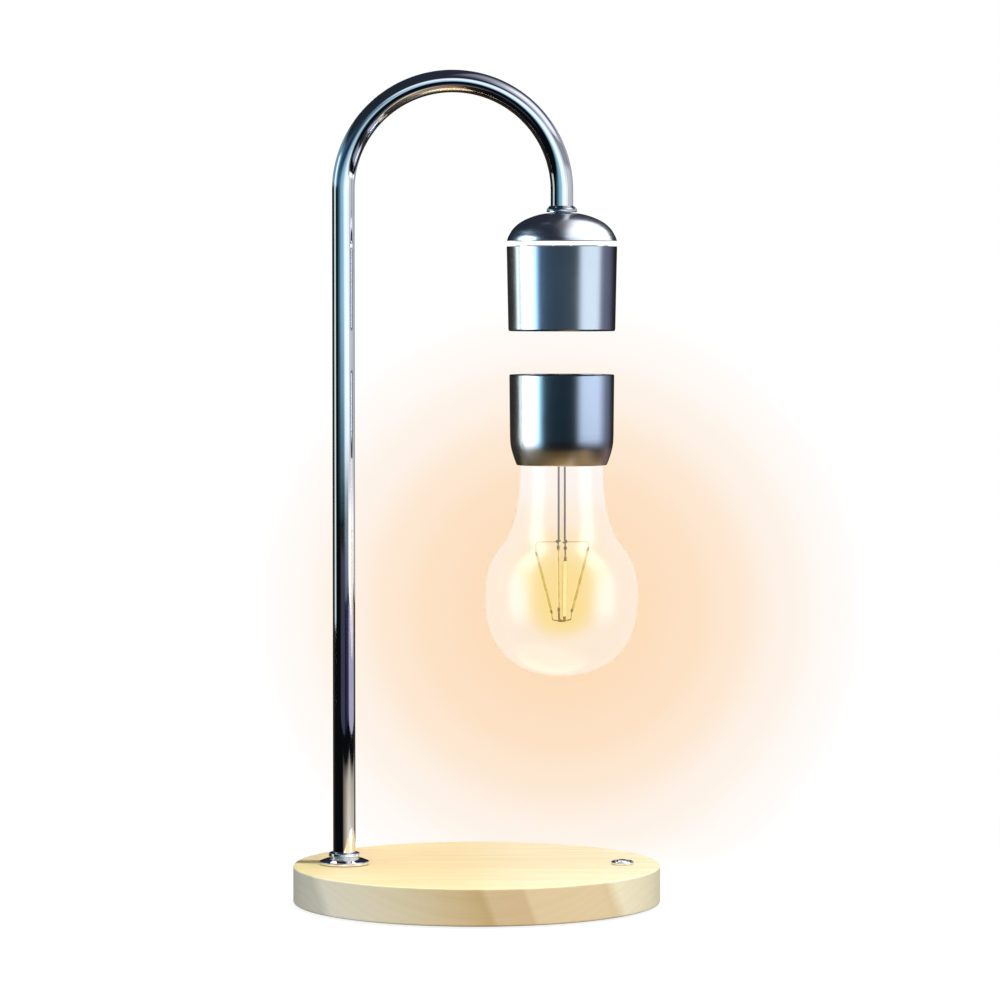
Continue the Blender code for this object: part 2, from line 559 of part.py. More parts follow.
lathe("bulb_glass", outer + inner[::-1], 24, GLASS, bulb_axis, closed=False, angle=60)

stem = lathe("glass_stem",
             [(0, 139.7), (0.6, 139.7), (0.6, 214.6), (3.0, 217.0), (3.4, 224.0), (6.0, 229.0), (12.0, 233.0),
              (19.3, 235.8), (19.3, 236.8), (11.5, 234.4), (5.0, 231.0), (2.4, 226.6), (0, 225.6)],
             14, GLASS, bulb_axis, closed=False)
bm = bmesh.new()
for s in (-1.5, 1.5):
    add_rod(bm, (s, 0, 212.5), (s, 0, 232), 0.8, 6)
boolean(stem, cutter("cut_stem_seals", bm, bulb_axis))

# four light filaments, a quarter turn apart, hung from the lead wires and
# standing on a star. Each lead wire bends outwards to the filament on its own
# side, and its branch carries the front or the back one.
TWIST = math.radians(7)
LEAD_R, BAR_Z = 0.5, 177.6
TOPS = [(13.2, 174.8), (12.7, 175.0), (12.7, 172.6), (12.7, 171.0)]
FEET = [(5.0, 143.0), (5.0, 143.0), (5.0, 142.6), (5.0, 139.9)]


def polar(k, r, z):
    """A point beside the bulb's axis, on the side of filament k."""
    a = TWIST + k * math.pi / 2
    return (r * math.cos(a), r * math.sin(a), z)


def drop(k):
    """The end of a wire's level run and its bend down to filament k."""
    r, z = TOPS[k]
    return [polar(k, r - 1.3, BAR_Z), polar(k, r - 0.35, BAR_Z - 0.4), polar(k, r, BAR_Z - 1.3),
            polar(k, r, z + 0.4)]


for side, s, k, branch in (("right", 1, 0, 3), ("left", -1, 2, 1)):
    bm = bmesh.new()
    add_wire(bm, [(1.5 * s, 0, 243.6), (1.5 * s, 0, BAR_Z + 1.2), (1.9 * s, 0, BAR_Z + 0.3), polar(k, 3.2, BAR_Z)] + drop(k),
             LEAD_R)
    lead = finish("lead_wire_" + side, bm, WIRE, bulb_axis)
    bm = bmesh.new()
    add_wire(bm, [(2.4 * s, 0.2 * s, BAR_Z + 0.1), (1.8 * s, -2.5 * s, BAR_Z)] + drop(branch), LEAD_R * 0.9)
    boolean(lead, cutter("add_branch_" + side, bm, bulb_axis), "UNION")

for k, side in enumerate(("right", "back", "left", "front")):
    bm = bmesh.new()
    add_rod(bm, polar(k, *TOPS[k]), polar(k, *FEET[k]), 0.75, 8)
    finish("filament_" + side, bm, LED, bulb_axis)

STAR_Z, STAR_T, STAR_W = 138.6, 0.5, 0.5
bm = bmesh.new()
hub = [bm.verts.new((x, y, 0)) for x, y in ((STAR_W, STAR_W), (-STAR_W, STAR_W), (-STAR_W, -STAR_W), (STAR_W, -STAR_W))]
bm.faces.new(hub)
for k in range(4):
    c, s = math.cos(k * math.pi / 2), math.sin(k * math.pi / 2)
    row = [hub[(k + 3) % 4], hub[k]]
    for r, rise in ((3.4, 0.25), (4.6, 0.6), (5.0, FEET[k][1] - STAR_Z - STAR_T - 0.35)):
        nxt = [bm.verts.new((r * c - w * s, r * s + w * c, rise)) for w in (-STAR_W, STAR_W)]
        bm.faces.new((row[0], nxt[0], nxt[1], row[1]))
        row = nxt
thick = bmesh.ops.extrude_face_region(bm, geom=list(bm.faces))["geom"]
bmesh.ops.translate(bm, vec=(0, 0, STAR_T), verts=[g for g in thick if isinstance(g, bmesh.types.BMVert)])
bmesh.ops.rotate(bm, cent=(0, 0, 0), matrix=Matrix.Rotation(TWIST, 3, "Z"), verts=bm.verts)
bmesh.ops.translate(bm, vec=(0, 0, STAR_Z), verts=bm.verts)
finish("filament_star", bm, WIRE, bulb_axis, smooth=False)
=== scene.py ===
"""Looks of the levitating lamp: fine surfaces, finishes, studio and camera.

Same frame as the model: origin at the centre of the base's underside, +Z up,
+X from the arm's foot towards the push switch, +Y towards the back. Shapes are
drawn in millimetres and scaled to metres when they become objects.
"""
import json
import math

import bmesh
import bpy
from mathutils import Matrix, Vector

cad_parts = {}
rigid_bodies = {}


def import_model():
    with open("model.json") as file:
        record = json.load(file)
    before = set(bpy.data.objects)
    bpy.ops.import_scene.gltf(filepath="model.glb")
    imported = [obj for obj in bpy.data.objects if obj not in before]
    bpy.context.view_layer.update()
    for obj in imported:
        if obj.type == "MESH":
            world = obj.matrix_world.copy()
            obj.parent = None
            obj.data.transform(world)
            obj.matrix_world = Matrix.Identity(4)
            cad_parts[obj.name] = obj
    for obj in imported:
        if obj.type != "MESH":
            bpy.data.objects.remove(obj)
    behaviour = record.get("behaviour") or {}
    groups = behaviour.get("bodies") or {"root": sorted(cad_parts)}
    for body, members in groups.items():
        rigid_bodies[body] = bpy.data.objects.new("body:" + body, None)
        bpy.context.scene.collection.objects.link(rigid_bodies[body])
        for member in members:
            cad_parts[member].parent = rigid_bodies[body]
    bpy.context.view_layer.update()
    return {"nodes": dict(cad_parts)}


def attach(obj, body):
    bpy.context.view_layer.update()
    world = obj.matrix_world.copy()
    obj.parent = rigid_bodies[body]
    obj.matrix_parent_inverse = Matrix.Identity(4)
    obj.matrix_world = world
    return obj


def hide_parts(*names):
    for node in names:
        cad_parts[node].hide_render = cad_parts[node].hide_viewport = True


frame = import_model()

MM = 0.001
scene = bpy.context.scene

# ---- places shared with the model (mm) --------------------------------------
BASE_R, BASE_Z0, BASE_Z1 = 90.0, 1.0, 19.0
POCKET_Z = 14.0
PLATE_R, PLATE_Z0, PLATE_Z1 = 84.0, 1.6, 3.1
ARM_X, HEAD_X, SWITCH_X = -65.0, 41.6, 71.5
TUBE_R, TUBE_BORE = 5.5, 4.5
ARCH_R, ARCH_X, ARCH_Z = (HEAD_X - ARM_X) / 2, (HEAD_X + ARM_X) / 2, 349.0
DOME_Z1 = 338.2
JACK_Z = 9.5
SCREW_AT, FOOT_AT = 74.0, 70.0
BOARD_SCREWS = {"left": (-36.0, 12.5), "right": (18.0, -12.5)}
GLASS_R, GLASS_Z, GLASS_H, GLASS_T, NECK_R = 38.0, 150.0, 38.6, 0.8, 20.8

# ---- camera -----------------------------------------------------------------
cam_data = bpy.data.cameras.new("camera")
cam_data.lens = 158.05
cam_data.sensor_width = 36.0
cam_data.dof.use_dof = False
cam_data.clip_start, cam_data.clip_end = 0.05, 50.0
cam = bpy.data.objects.new("camera", cam_data)
cam.location = (0.01141, -2.14514, 0.29722)
cam.rotation_euler = (math.radians(90 - 2.647), 0.0, 0.0)
scene.collection.objects.link(cam)
scene.camera = cam
scene.view_settings.view_transform = "Standard"
scene.view_settings.look = "None"
scene.cycles.transparent_max_bounces = 24


# ---- node helpers -----------------------------------------------------------
class Tree:
    """A few words for building shader nodes."""

    def __init__(self, owner):
        owner.use_nodes = True
        self.t = owner.node_tree
        self.t.nodes.clear()

    def node(self, kind, **settings):
        n = self.t.nodes.new(kind)
        for k, v in settings.items():
            setattr(n, k, v)
        return n

    def put(self, socket, value):
        if isinstance(value, bpy.types.NodeSocket):
            self.t.links.new(value, socket)
        elif value is not None:
            socket.default_value = value

    def math(self, op, a, b=None, c=None, clamp=False):
        n = self.node("ShaderNodeMath", operation=op, use_clamp=clamp)
        for s, v in zip(n.inputs, (a, b, c)):
            self.put(s, v)
        return n.outputs[0]

    def vmath(self, op, a, b=None):
        n = self.node("ShaderNodeVectorMath", operation=op)
        self.put(n.inputs[0], a)
        if b is not None:
            self.put(n.inputs[1], b)
        return n.outputs["Value"] if op in ("LENGTH", "DISTANCE", "DOT_PRODUCT") else n.outputs[0]

    def coords(self, which="Object"):
        return self.node("ShaderNodeTexCoord").outputs[which]

    def stretch(self, vector, scale, rotation=(0, 0, 0), location=(0, 0, 0)):
        n = self.node("ShaderNodeMapping")
        self.put(n.inputs["Vector"], vector)
        n.inputs["Scale"].default_value = scale
        n.inputs["Rotation"].default_value = rotation
        n.inputs["Location"].default_value = location
        return n.outputs[0]

    def split(self, vector):
        n = self.node("ShaderNodeSeparateXYZ")
        self.put(n.inputs[0], vector)
        return n.outputs

    def join(self, x, y, z):
        n = self.node("ShaderNodeCombineXYZ")
        for s, v in zip(n.inputs, (x, y, z)):
            self.put(s, v)
        return n.outputs[0]

    def noise(self, vector, scale, detail=2.0, rough=0.5, distortion=0.0, out="Fac"):
        n = self.node("ShaderNodeTexNoise")
        self.put(n.inputs["Vector"], vector)
        n.inputs["Scale"].default_value = scale
        n.inputs["Detail"].default_value = detail
        n.inputs["Roughness"].default_value = rough
        n.inputs["Distortion"].default_value = distortion
        return n.outputs[out]

    def ramp(self, fac, stops, interpolation="LINEAR"):
        n = self.node("ShaderNodeValToRGB")
        self.put(n.inputs[0], fac)
        r = n.color_ramp
        r.interpolation = interpolation
        while len(r.elements) < len(stops):
            r.elements.new(1.0)
        for e, (pos, col) in zip(r.elements, stops):
            e.position = pos
            e.color = (*col, 1.0) if hasattr(col, "__len__") else (col, col, col, 1.0)
        return n.outputs[0]

    def span(self, value, lo, hi, to_lo=0.0, to_hi=1.0, smooth=True):
        n = self.node("ShaderNodeMapRange")
        n.interpolation_type = "SMOOTHSTEP" if smooth else "LINEAR"
        self.put(n.inputs["Value"], value)
        for name, v in (("From Min", lo), ("From Max", hi), ("To Min", to_lo), ("To Max", to_hi)):
            self.put(n.inputs[name], v)
        return n.outputs[0]

    def mix(self, fac, a, b, blend="MIX"):
        n = self.node("ShaderNodeMix", data_type="RGBA", blend_type=blend)
        self.put(n.inputs[0], fac)
        for s, v in ((n.inputs[6], a), (n.inputs[7], b)):
            self.put(s, (*v, 1.0) if isinstance(v, tuple) and len(v) == 3 else v)
        return n.outputs[2]

    def bump(self, height, strength, distance, normal=None):
        n = self.node("ShaderNodeBump")
        n.inputs["Strength"].default_value = strength
        n.inputs["Distance"].default_value = distance
        self.put(n.inputs["Height"], height)
        self.put(n.inputs["Normal"], normal)
        return n.outputs[0]

    def principled(self, **values):
        n = self.node("ShaderNodeBsdfPrincipled")
        for k, v in values.items():
            self.put(n.inputs[k.replace("_", " ")], (*v, 1.0) if isinstance(v, tuple) and len(v) == 3 else v)
        return n

    def output(self, surface):
        n = self.node("ShaderNodeOutputMaterial")
        self.put(n.inputs["Surface"], surface)


def new_material(name):
    m = bpy.data.materials.new(name)
    return m, Tree(m)


# ---- finishes ---------------------------------------------------------------
def make_chrome():
    """Mirror plating: faint waviness, fingerprints' haze and hair scratches."""
    m, t = new_material("chrome_plating")
    c = t.coords()
    haze = t.noise(c, 38.0, 4.0, 0.6)
    fine = t.noise(t.stretch(c, (1.0, 1.0, 0.12)), 2600.0, 2.0)
    rough = t.math("ADD", t.span(haze, 0.35, 0.7, 0.03, 0.07), t.span(fine, 0.55, 0.8, 0.0, 0.03))
    col = t.mix(t.span(haze, 0.3, 0.7), (0.80, 0.82, 0.85), (0.86, 0.87, 0.89))
    n = t.bump(t.noise(c, 55.0, 1.0), 0.05, 0.0002, t.bump(fine, 0.03, 0.00001))
    p = t.principled(Base_Color=col, Metallic=1.0, Roughness=rough, Normal=n)
    t.output(p.outputs[0])
    return m


def make_satin():
    """Satin plating on turned steel: a very fine grain that runs round the piece."""
    m, t = new_material("satin_plating")
    c = t.coords()
    x, y, z = t.split(c)[:3]
    rings = t.noise(t.join(t.math("MULTIPLY", t.vmath("LENGTH", t.join(x, y, 0.0)), 1.0), 0.0, z), 5200.0, 2.0)
    blast = t.noise(c, 2600.0, 3.0, 0.65)
    cloud = t.noise(c, 42.0, 3.0)
    rough = t.math("ADD", t.span(cloud, 0.3, 0.7, 0.205, 0.235), t.math("MULTIPLY", rings, 0.03))
    col = t.mix(t.span(cloud, 0.3, 0.7), (0.60, 0.63, 0.67), (0.64, 0.67, 0.71))
    n = t.bump(blast, 0.06, 0.00003, t.bump(rings, 0.05, 0.00002))
    p = t.principled(Base_Color=col, Metallic=1.0, Roughness=rough, Normal=n)
    t.output(p.outputs[0])
    return m


def make_pine():
    """Oiled pale pine: edge-glued staves along X with their own tone, growth
    rings, fibres, a few darker streaks and a softer tone on the cut rim."""
    m, t = new_material("pine_boards")
    c = t.coords()
    x, y, z = t.split(c)[:3]
    nz = t.split(t.node("ShaderNodeNewGeometry").outputs["Normal"])[2]
    wobble = t.math("SUBTRACT", t.noise(t.stretch(c, (1, 1, 0.6)), 26.0, 2.0), 0.5)
    lean = t.math("MULTIPLY", z, 0.35)
    lane = t.math("FLOOR", t.math("DIVIDE", t.math("ADD", y, 0.09), 0.047))
    along = t.math("ADD", t.math("ADD", x, lean), t.math("MULTIPLY", wobble, 0.006))
    along = t.math("ADD", along, t.math("MULTIPLY", t.math("MAXIMUM", t.math("SUBTRACT", lane, 1.0), 0.0), 0.083))
    at = t.math("FRACT", t.math("ADD", t.math("DIVIDE", along, 0.20), 0.5))
    stave = t.ramp(at, [(0.0, (0.66, 0.65, 0.54)), (0.135, (0.66, 0.65, 0.54)), (0.158, (0.88, 0.83, 0.67)),
                        (0.356, (0.76, 0.65, 0.43)), (0.491, (0.65, 0.49, 0.255)), (0.5405, (0.57, 0.42, 0.19)),
                        (0.5585, (0.70, 0.53, 0.30)), (0.64, (0.69, 0.51, 0.29)), (0.653, (0.80, 0.64, 0.385)),
                        (0.824, (0.81, 0.65, 0.40)), (0.838, (0.79, 0.63, 0.38)), (0.865, (0.95, 0.88, 0.64))])
    # growth rings round a pith line far below each lane, seen as arcs on the rim
    pith = t.join(t.math("MULTIPLY", x, 0.35), t.math("ADD", y, t.math("MULTIPLY", lane, 0.013)),
                  t.math("ADD", z, 0.09))
    ring_r = t.vmath("LENGTH", t.vmath("ADD", pith, t.vmath("MULTIPLY", t.join(wobble, wobble, wobble),
                                                            (0.012, 0.012, 0.012))))
    ring_n = t.noise(t.join(t.math("MULTIPLY", ring_r, 1.0), 0.0, t.math("MULTIPLY", lane, 7.3)), 330.0, 2.0, 0.6)
    rings = t.span(ring_n, 0.38, 0.66)
    # streaks and fibres along the grain
    long_c = t.stretch(c, (1.0, 14.0, 14.0))
    streak = t.noise(long_c, 11.0, 3.0, 0.55, 0.4)
    fibre = t.noise(t.stretch(c, (1.0, 42.0, 42.0)), 46.0, 3.0, 0.7)
    top = t.math("MULTIPLY", t.span(nz, 0.55, 0.9), 1.0)
    # two tones for the top: the paler, creamier one towards the right, under the bulb, is painted light from the bulb
    warm = t.mix(t.span(streak, 0.36, 0.66), (0.83, 0.66, 0.37), (0.88, 0.72, 0.43))
    light = t.mix(t.span(streak, 0.36, 0.66), (0.85, 0.72, 0.48), (0.89, 0.80, 0.56))
    pale = t.mix(t.span(t.math("ADD", x, t.math("MULTIPLY", wobble, 0.03)), -0.02, 0.035), warm, light)
    pale = t.mix(t.math("MULTIPLY", rings, 0.16), pale, (0.80, 0.62, 0.35))
    rim = t.mix(t.math("MULTIPLY", rings, 0.30), stave, t.mix(1.0, stave, (0.90, 0.82, 0.70), "MULTIPLY"))
    body = t.mix(top, rim, pale)
    body = t.mix(t.span(fibre, 0.52, 0.80, 0.0, 0.22), body, t.mix(1.0, body, (0.86, 0.76, 0.60), "MULTIPLY"))
    # greyer towards the arm's foot, with one dark streak from the flange to the left edge: partly grain, partly a
    # painted shadow of the flange
    body = t.mix(t.math("MULTIPLY", t.span(x, -0.066, -0.084), top), body,
                 t.mix(1.0, body, t.mix(t.span(y, 0.022, 0.006), (0.80, 0.82, 0.90), (0.90, 0.95, 0.84)), "MULTIPLY"))
    d = t.vmath("LENGTH", t.join(t.math("MULTIPLY", t.math("ADD", x, 0.080), 0.22),
                                 t.math("SUBTRACT", t.math("SUBTRACT", y, 0.0095), t.math("MULTIPLY", wobble, 0.006)), 0.0))
    body = t.mix(t.math("MULTIPLY", t.span(d, 0.0085, 0.003, 0.0, 0.88), t.span(x, -0.056, -0.066)), body, (0.20, 0.17, 0.07))
    rough = t.math("ADD", t.span(fibre, 0.3, 0.7, 0.46, 0.56), t.math("MULTIPLY", rings, 0.05))
    h = t.math("ADD", t.math("MULTIPLY", fibre, 0.7), t.math("MULTIPLY", rings, 0.3))
    p = t.principled(Base_Color=body, Roughness=rough, Normal=t.bump(h, 0.22, 0.00012))
    p.inputs["Specular IOR Level"].default_value = 0.35
    t.output(p.outputs[0])
    return m


def make_glass(name, haze, core_painted_glow, neck_painted_glow, shine_level):
    """One face of the thin clear wall of a lit bulb. It shows on the side that
    is turned to the eye: it adds the lights that it mirrors and carries a painted
    warm glow, emission painted on the glass, strongest where one looks through
    to the filaments."""
    m, t = new_material(name)
    geo = t.node("ShaderNodeNewGeometry")
    c = t.coords()
    z = t.split(c)[2]
    face = t.node("ShaderNodeLayerWeight")
    face.inputs["Blend"].default_value = 0.5
    facing = face.outputs["Facing"]
    flow = t.noise(t.stretch(c, (1, 1, 0.4)), 30.0, 2.0)
    fine = t.noise(c, 900.0, 2.0)
    clear = t.node("ShaderNodeBsdfTransparent")
    # where one looks straight through, the see-through colour turns warm: painted warmth from the glow
    t.put(clear.inputs["Color"], t.mix(t.span(facing, 0.80, 0.99), (1.0, 1.0, 1.0), (0.93, 0.90, 0.80)))
    # the painted glow's warm core: strongest facing the eye, between these heights
    reach = t.span(z, 0.148, 0.178, 0.19, 0.52)
    core = t.math("MULTIPLY", t.span(facing, reach, 0.015), t.span(z, 0.188, 0.174))
    core = t.math("MULTIPLY", core, t.span(z, 0.118, 0.134))
    glow = t.node("ShaderNodeEmission")
    plain = t.mix(t.span(z, 0.188, 0.208), (1.0, 0.93, 0.835), (1.0, 0.955, 0.925))
    t.put(glow.inputs["Color"], t.mix(core, plain, (0.98, 0.77, 0.29)))
    glow.inputs["Strength"].default_value = 0.98
    # how much painted glow shows instead of clear glass: a base share, more in the core and up the neck
    painted_glow_mix = t.math("ADD", t.span(core, 0.0, 1.0, haze, core_painted_glow, smooth=False), t.span(flow, 0.3, 0.7, -0.015, 0.015))
    painted_glow_mix = t.math("ADD", painted_glow_mix, t.span(z, 0.185, 0.205, 0.0, neck_painted_glow))
    body = t.node("ShaderNodeMixShader")
    t.put(body.inputs[0], painted_glow_mix)
    t.put(body.inputs[1], clear.outputs[0])
    t.put(body.inputs[2], glow.outputs[0])
    shine = t.node("ShaderNodeBsdfGlossy")
    t.put(shine.inputs["Roughness"], t.span(fine, 0.3, 0.7, 0.20, 0.24))
    fres = t.node("ShaderNodeFresnel")
    fres.inputs["IOR"].default_value = 1.5
    t.put(shine.inputs["Color"], t.join(*[t.math("MULTIPLY", fres.outputs[0], shine_level, clamp=True)] * 3))
    t.put(shine.inputs["Normal"], t.bump(flow, 0.05, 0.0003))
    lit = t.node("ShaderNodeAddShader")
    t.put(lit.inputs[0], body.outputs[0])
    t.put(lit.inputs[1], shine.outputs[0])
    one = t.node("ShaderNodeMixShader")
    t.put(one.inputs[0], geo.outputs["Backfacing"])
    t.put(one.inputs[1], lit.outputs[0])
    t.put(one.inputs[2], t.node("ShaderNodeBsdfTransparent").outputs[0])
    t.output(one.outputs[0])
    return m


def make_stem_glass():
    m, t = new_material("stem_glass")
    geo = t.node("ShaderNodeNewGeometry")
    fres = t.node("ShaderNodeFresnel")
    fres.inputs["IOR"].default_value = 1.5
    flow = t.noise(t.coords(), 120.0, 2.0)
    clear = t.node("ShaderNodeBsdfTransparent")
    t.put(clear.inputs["Color"], t.mix(flow, (0.97, 0.95, 0.93), (0.93, 0.90, 0.88)))
    shine = t.node("ShaderNodeBsdfGlossy")
    shine.inputs["Roughness"].default_value = 0.15
    mix = t.node("ShaderNodeMixShader")
    t.put(mix.inputs[0], t.math("MULTIPLY", fres.outputs[0], 0.6))
    t.put(mix.inputs[1], clear.outputs[0])
    t.put(mix.inputs[2], shine.outputs[0])
    one = t.node("ShaderNodeMixShader")
    t.put(one.inputs[0], geo.outputs["Backfacing"])
    t.put(one.inputs[1], mix.outputs[0])
    t.put(one.inputs[2], t.node("ShaderNodeBsdfTransparent").outputs[0])
    t.output(one.outputs[0])
    return m


def make_plain(name, a, b, rough, metallic=0.0, grain=900.0, bump=0.1, depth=0.00004, cloud=60.0):
    """A moulded, cast or plated surface: two close tones, fine grain, uneven gloss."""
    m, t = new_material(name)
    c = t.coords()
    tone = t.noise(c, cloud, 3.0)
    fine = t.noise(c, grain, 3.0, 0.6)
    col = t.mix(t.span(t.math("ADD", t.math("MULTIPLY", tone, 0.6), t.math("MULTIPLY", fine, 0.4)), 0.35, 0.65), a, b)
    p = t.principled(Base_Color=col, Metallic=metallic,
                     Roughness=t.span(fine, 0.3, 0.7, rough - 0.05, rough + 0.05), Normal=t.bump(fine, bump, depth))
    t.output(p.outputs[0])
    return m


def make_glowing(name, colour, dim, strength, grain=300.0):
    """A lit diffuser: the light is slightly uneven where the lamps sit behind it."""
    m, t = new_material(name)
    c = t.coords()
    f = t.noise(c, grain, 2.0)
    col = t.mix(t.span(f, 0.3, 0.7), colour, dim)
    p = t.principled(Base_Color=t.mix(1.0, col, (0.05, 0.05, 0.05), "MULTIPLY"), Roughness=t.span(f, 0.3, 0.7, 0.40, 0.50),
                     Emission_Color=col)
    p.inputs["Emission Strength"].default_value = strength
    t.output(p.outputs[0])
    return m


def make_board():
    """Green solder mask with a fine trace pattern and darker patches at random."""
    m, t = new_material("solder_mask")
    c = t.coords()
    trace = t.node("ShaderNodeTexBrick")
    t.put(trace.inputs["Vector"], c)
    trace.inputs["Scale"].default_value = 240.0
    t.put(trace.inputs["Color1"], (0.02, 0.13, 0.05, 1))
    t.put(trace.inputs["Color2"], (0.03, 0.17, 0.07, 1))
    t.put(trace.inputs["Mortar"], (0.05, 0.24, 0.10, 1))
    col = t.mix(t.span(t.noise(c, 500.0, 2.0), 0.4, 0.6, 0.0, 0.4), trace.outputs[0], (0.02, 0.09, 0.04))
    p = t.principled(Base_Color=col, Roughness=0.4, Normal=t.bump(t.noise(c, 900.0, 2.0), 0.1, 0.00003))
    t.output(p.outputs[0])
    return m


def make_copper():
    """Enamelled wire, wound: fine turns stacked up the coil."""
    m, t = new_material("enamelled_copper")
    c = t.coords()
    z = t.split(c)[2]
    turn = t.math("SINE", t.math("MULTIPLY", z, 2 * math.pi / 0.0006))
    tone = t.noise(c, 300.0, 2.0)
    col = t.mix(t.span(t.math("ADD", t.math("MULTIPLY", turn, 0.3), tone), 0.3, 0.9), (0.42, 0.15, 0.05), (0.80, 0.40, 0.18))
    p = t.principled(Base_Color=col, Metallic=0.9, Roughness=0.32, Normal=t.bump(turn, 0.5, 0.0001))
    t.output(p.outputs[0])
    return m


CHROME = make_chrome()
SATIN = make_satin()
PINE = make_pine()
# both faces of the bulb glass carry painted glow, the inner face the most
GLASS_OUT = make_glass("glass_outer_face", 0.13, 0.14, 0.03, 1.3)
GLASS_IN = make_glass("glass_inner_face", 0.52, 0.72, 0.30, 0.0)
STEM_GLASS = make_stem_glass()
BLACK_STEEL = make_plain("black_powder_coat", (0.018, 0.018, 0.019), (0.03, 0.03, 0.032), 0.48, 0.1, 1600.0, 0.35, 0.00008)
RUBBER = make_plain("black_rubber", (0.016, 0.016, 0.016), (0.03, 0.03, 0.03), 0.82, 0.0, 700.0, 0.25, 0.0001)
ABS = make_plain("black_moulded", (0.018, 0.018, 0.02), (0.03, 0.03, 0.033), 0.42, 0.0, 1800.0, 0.2, 0.00005)
ZINC = make_plain("zinc_plated", (0.52, 0.53, 0.52), (0.66, 0.65, 0.60), 0.34, 1.0, 1200.0, 0.12, 0.00003, 200.0)
IRON = make_plain("soft_iron", (0.30, 0.30, 0.31), (0.40, 0.39, 0.38), 0.45, 1.0, 900.0, 0.2)
NICKEL = make_plain("nickel_plated", (0.62, 0.63, 0.64), (0.70, 0.70, 0.69), 0.2, 1.0, 900.0, 0.05)
BRASS = make_plain("plated_brass", (0.70, 0.52, 0.24), (0.80, 0.62, 0.32), 0.28, 1.0, 700.0, 0.08)
PVC = make_plain("cable_sheath", (0.03, 0.03, 0.035), (0.05, 0.05, 0.055), 0.55, 0.0, 600.0, 0.15)
WIRE = make_plain("lead_wire", (0.11, 0.07, 0.075), (0.16, 0.10, 0.10), 0.42, 0.3, 900.0, 0.12, 0.00003, 150.0)
WIRE_TAN = make_plain("lead_wire_branch", (0.72, 0.54, 0.30), (0.82, 0.64, 0.40), 0.5, 0.0, 900.0, 0.12, 0.00003, 150.0)
BRONZE = make_plain("bronze_tabs", (0.17, 0.09, 0.025), (0.26, 0.15, 0.05), 0.5, 0.1, 900.0, 0.12, 0.00003, 150.0)
RING_LIT = make_glowing("opal_ring_lit", (1.0, 1.0, 1.0), (0.97, 0.98, 1.0), 1.15)
PHOSPHOR = make_glowing("phosphor_lit", (1.0, 0.86, 0.40), (0.98, 0.80, 0.33), 0.95, 900.0)
SUBSTRATE = make_plain("filament_edge", (0.55, 0.42, 0.13), (0.80, 0.62, 0.22), 0.5, 0.0, 500.0, 0.1, 0.00003, 400.0)
BOARD = make_board()
COPPER = make_copper()


# ---- shape helpers ----------------------------------------------------------
def rounded(points, closed=True, step=14.0, hold=0.22):
    """An (r, z) or (r, z, radius) outline with its corners rounded, and with
    extra points near both ends of long straight runs so they shade flat."""
    out = []
    n = len(points)
    for i, p in enumerate(points):
        rad = p[2] if len(p) > 2 else 0.0
        b = Vector(p[:2])
        if rad <= 0 or (not closed and i in (0, n - 1)):
            out.append(b)
            continue
        a, c = Vector(points[i - 1][:2]), Vector(points[(i + 1) % n][:2])
        u, v = (a - b).normalized(), (c - b).normalized()
        half = u.angle(v) / 2
        cut = min(rad / math.tan(half), 0.46 * (a - b).length, 0.46 * (c - b).length)
        rad = cut * math.tan(half)
        centre = b + (u + v).normalized() * (rad / math.sin(half))
        p0, p1 = b + u * cut - centre, b + v * cut - centre
        a0 = math.atan2(p0.y, p0.x)
        turn = (math.atan2(p1.y, p1.x) - a0 + math.pi) % (2 * math.pi) - math.pi
        k = max(2, math.ceil(abs(math.degrees(turn)) / step))
        out += [centre + rad * Vector((math.cos(a0 + turn * j / k), math.sin(a0 + turn * j / k))) for j in range(k + 1)]
    full = []
    m = len(out)
    for i in range(m if closed else m - 1):
        a, b = out[i], out[(i + 1) % m]
        full.append(a)
        d = (b - a).length
        if d > 4 * hold:
            full += [a + (b - a) * (hold / d), b - (b - a) * (hold / d)]
    if not closed:
        full.append(out[-1])
    return [(max(0.0, p.x), p.y) for p in full]


def curve_through(points, steps):
    """A smooth line through (r, z) points."""
    k = [Vector(p) for p in points]
    k = [2 * k[0] - k[1]] + k + [2 * k[-1] - k[-2]]
    out = []
    for i in range(1, len(k) - 2):
        a, b, c, d = k[i - 1:i + 3]
        for s in range(steps):
            t = s / steps
            out.append(0.5 * (2 * b + (c - a) * t + (2 * a - 5 * b + 4 * c - d) * t * t + (3 * b - a - 3 * c + d) * t ** 3))
    out.append(k[-2])
    return out


def turn(bm, profile, segs, closed=True, at=(0.0, 0.0)):
    """Rings of the outline about a vertical axis, joined row by row."""
    rows = []
    for r, z in profile:
        if r < 1e-6:
            rows.append([bm.verts.new((at[0], at[1], z))])
        else:
            rows.append([bm.verts.new((at[0] + r * math.cos(2 * math.pi * i / segs),
                                       at[1] + r * math.sin(2 * math.pi * i / segs), z)) for i in range(segs)])
    pairs = list(zip(rows, rows[1:])) + ([(rows[-1], rows[0])] if closed else [])
    for a, b in pairs:
        for i in range(segs):
            k = (i + 1) % segs
            if len(a) == 1 and len(b) == 1:
                break
            if len(a) == 1:
                bm.faces.new((a[0], b[k], b[i]))
            elif len(b) == 1:
                bm.faces.new((a[i], a[k], b[0]))
            else:
                bm.faces.new((a[i], a[k], b[k], b[i]))
    return [v for row in rows for v in row]


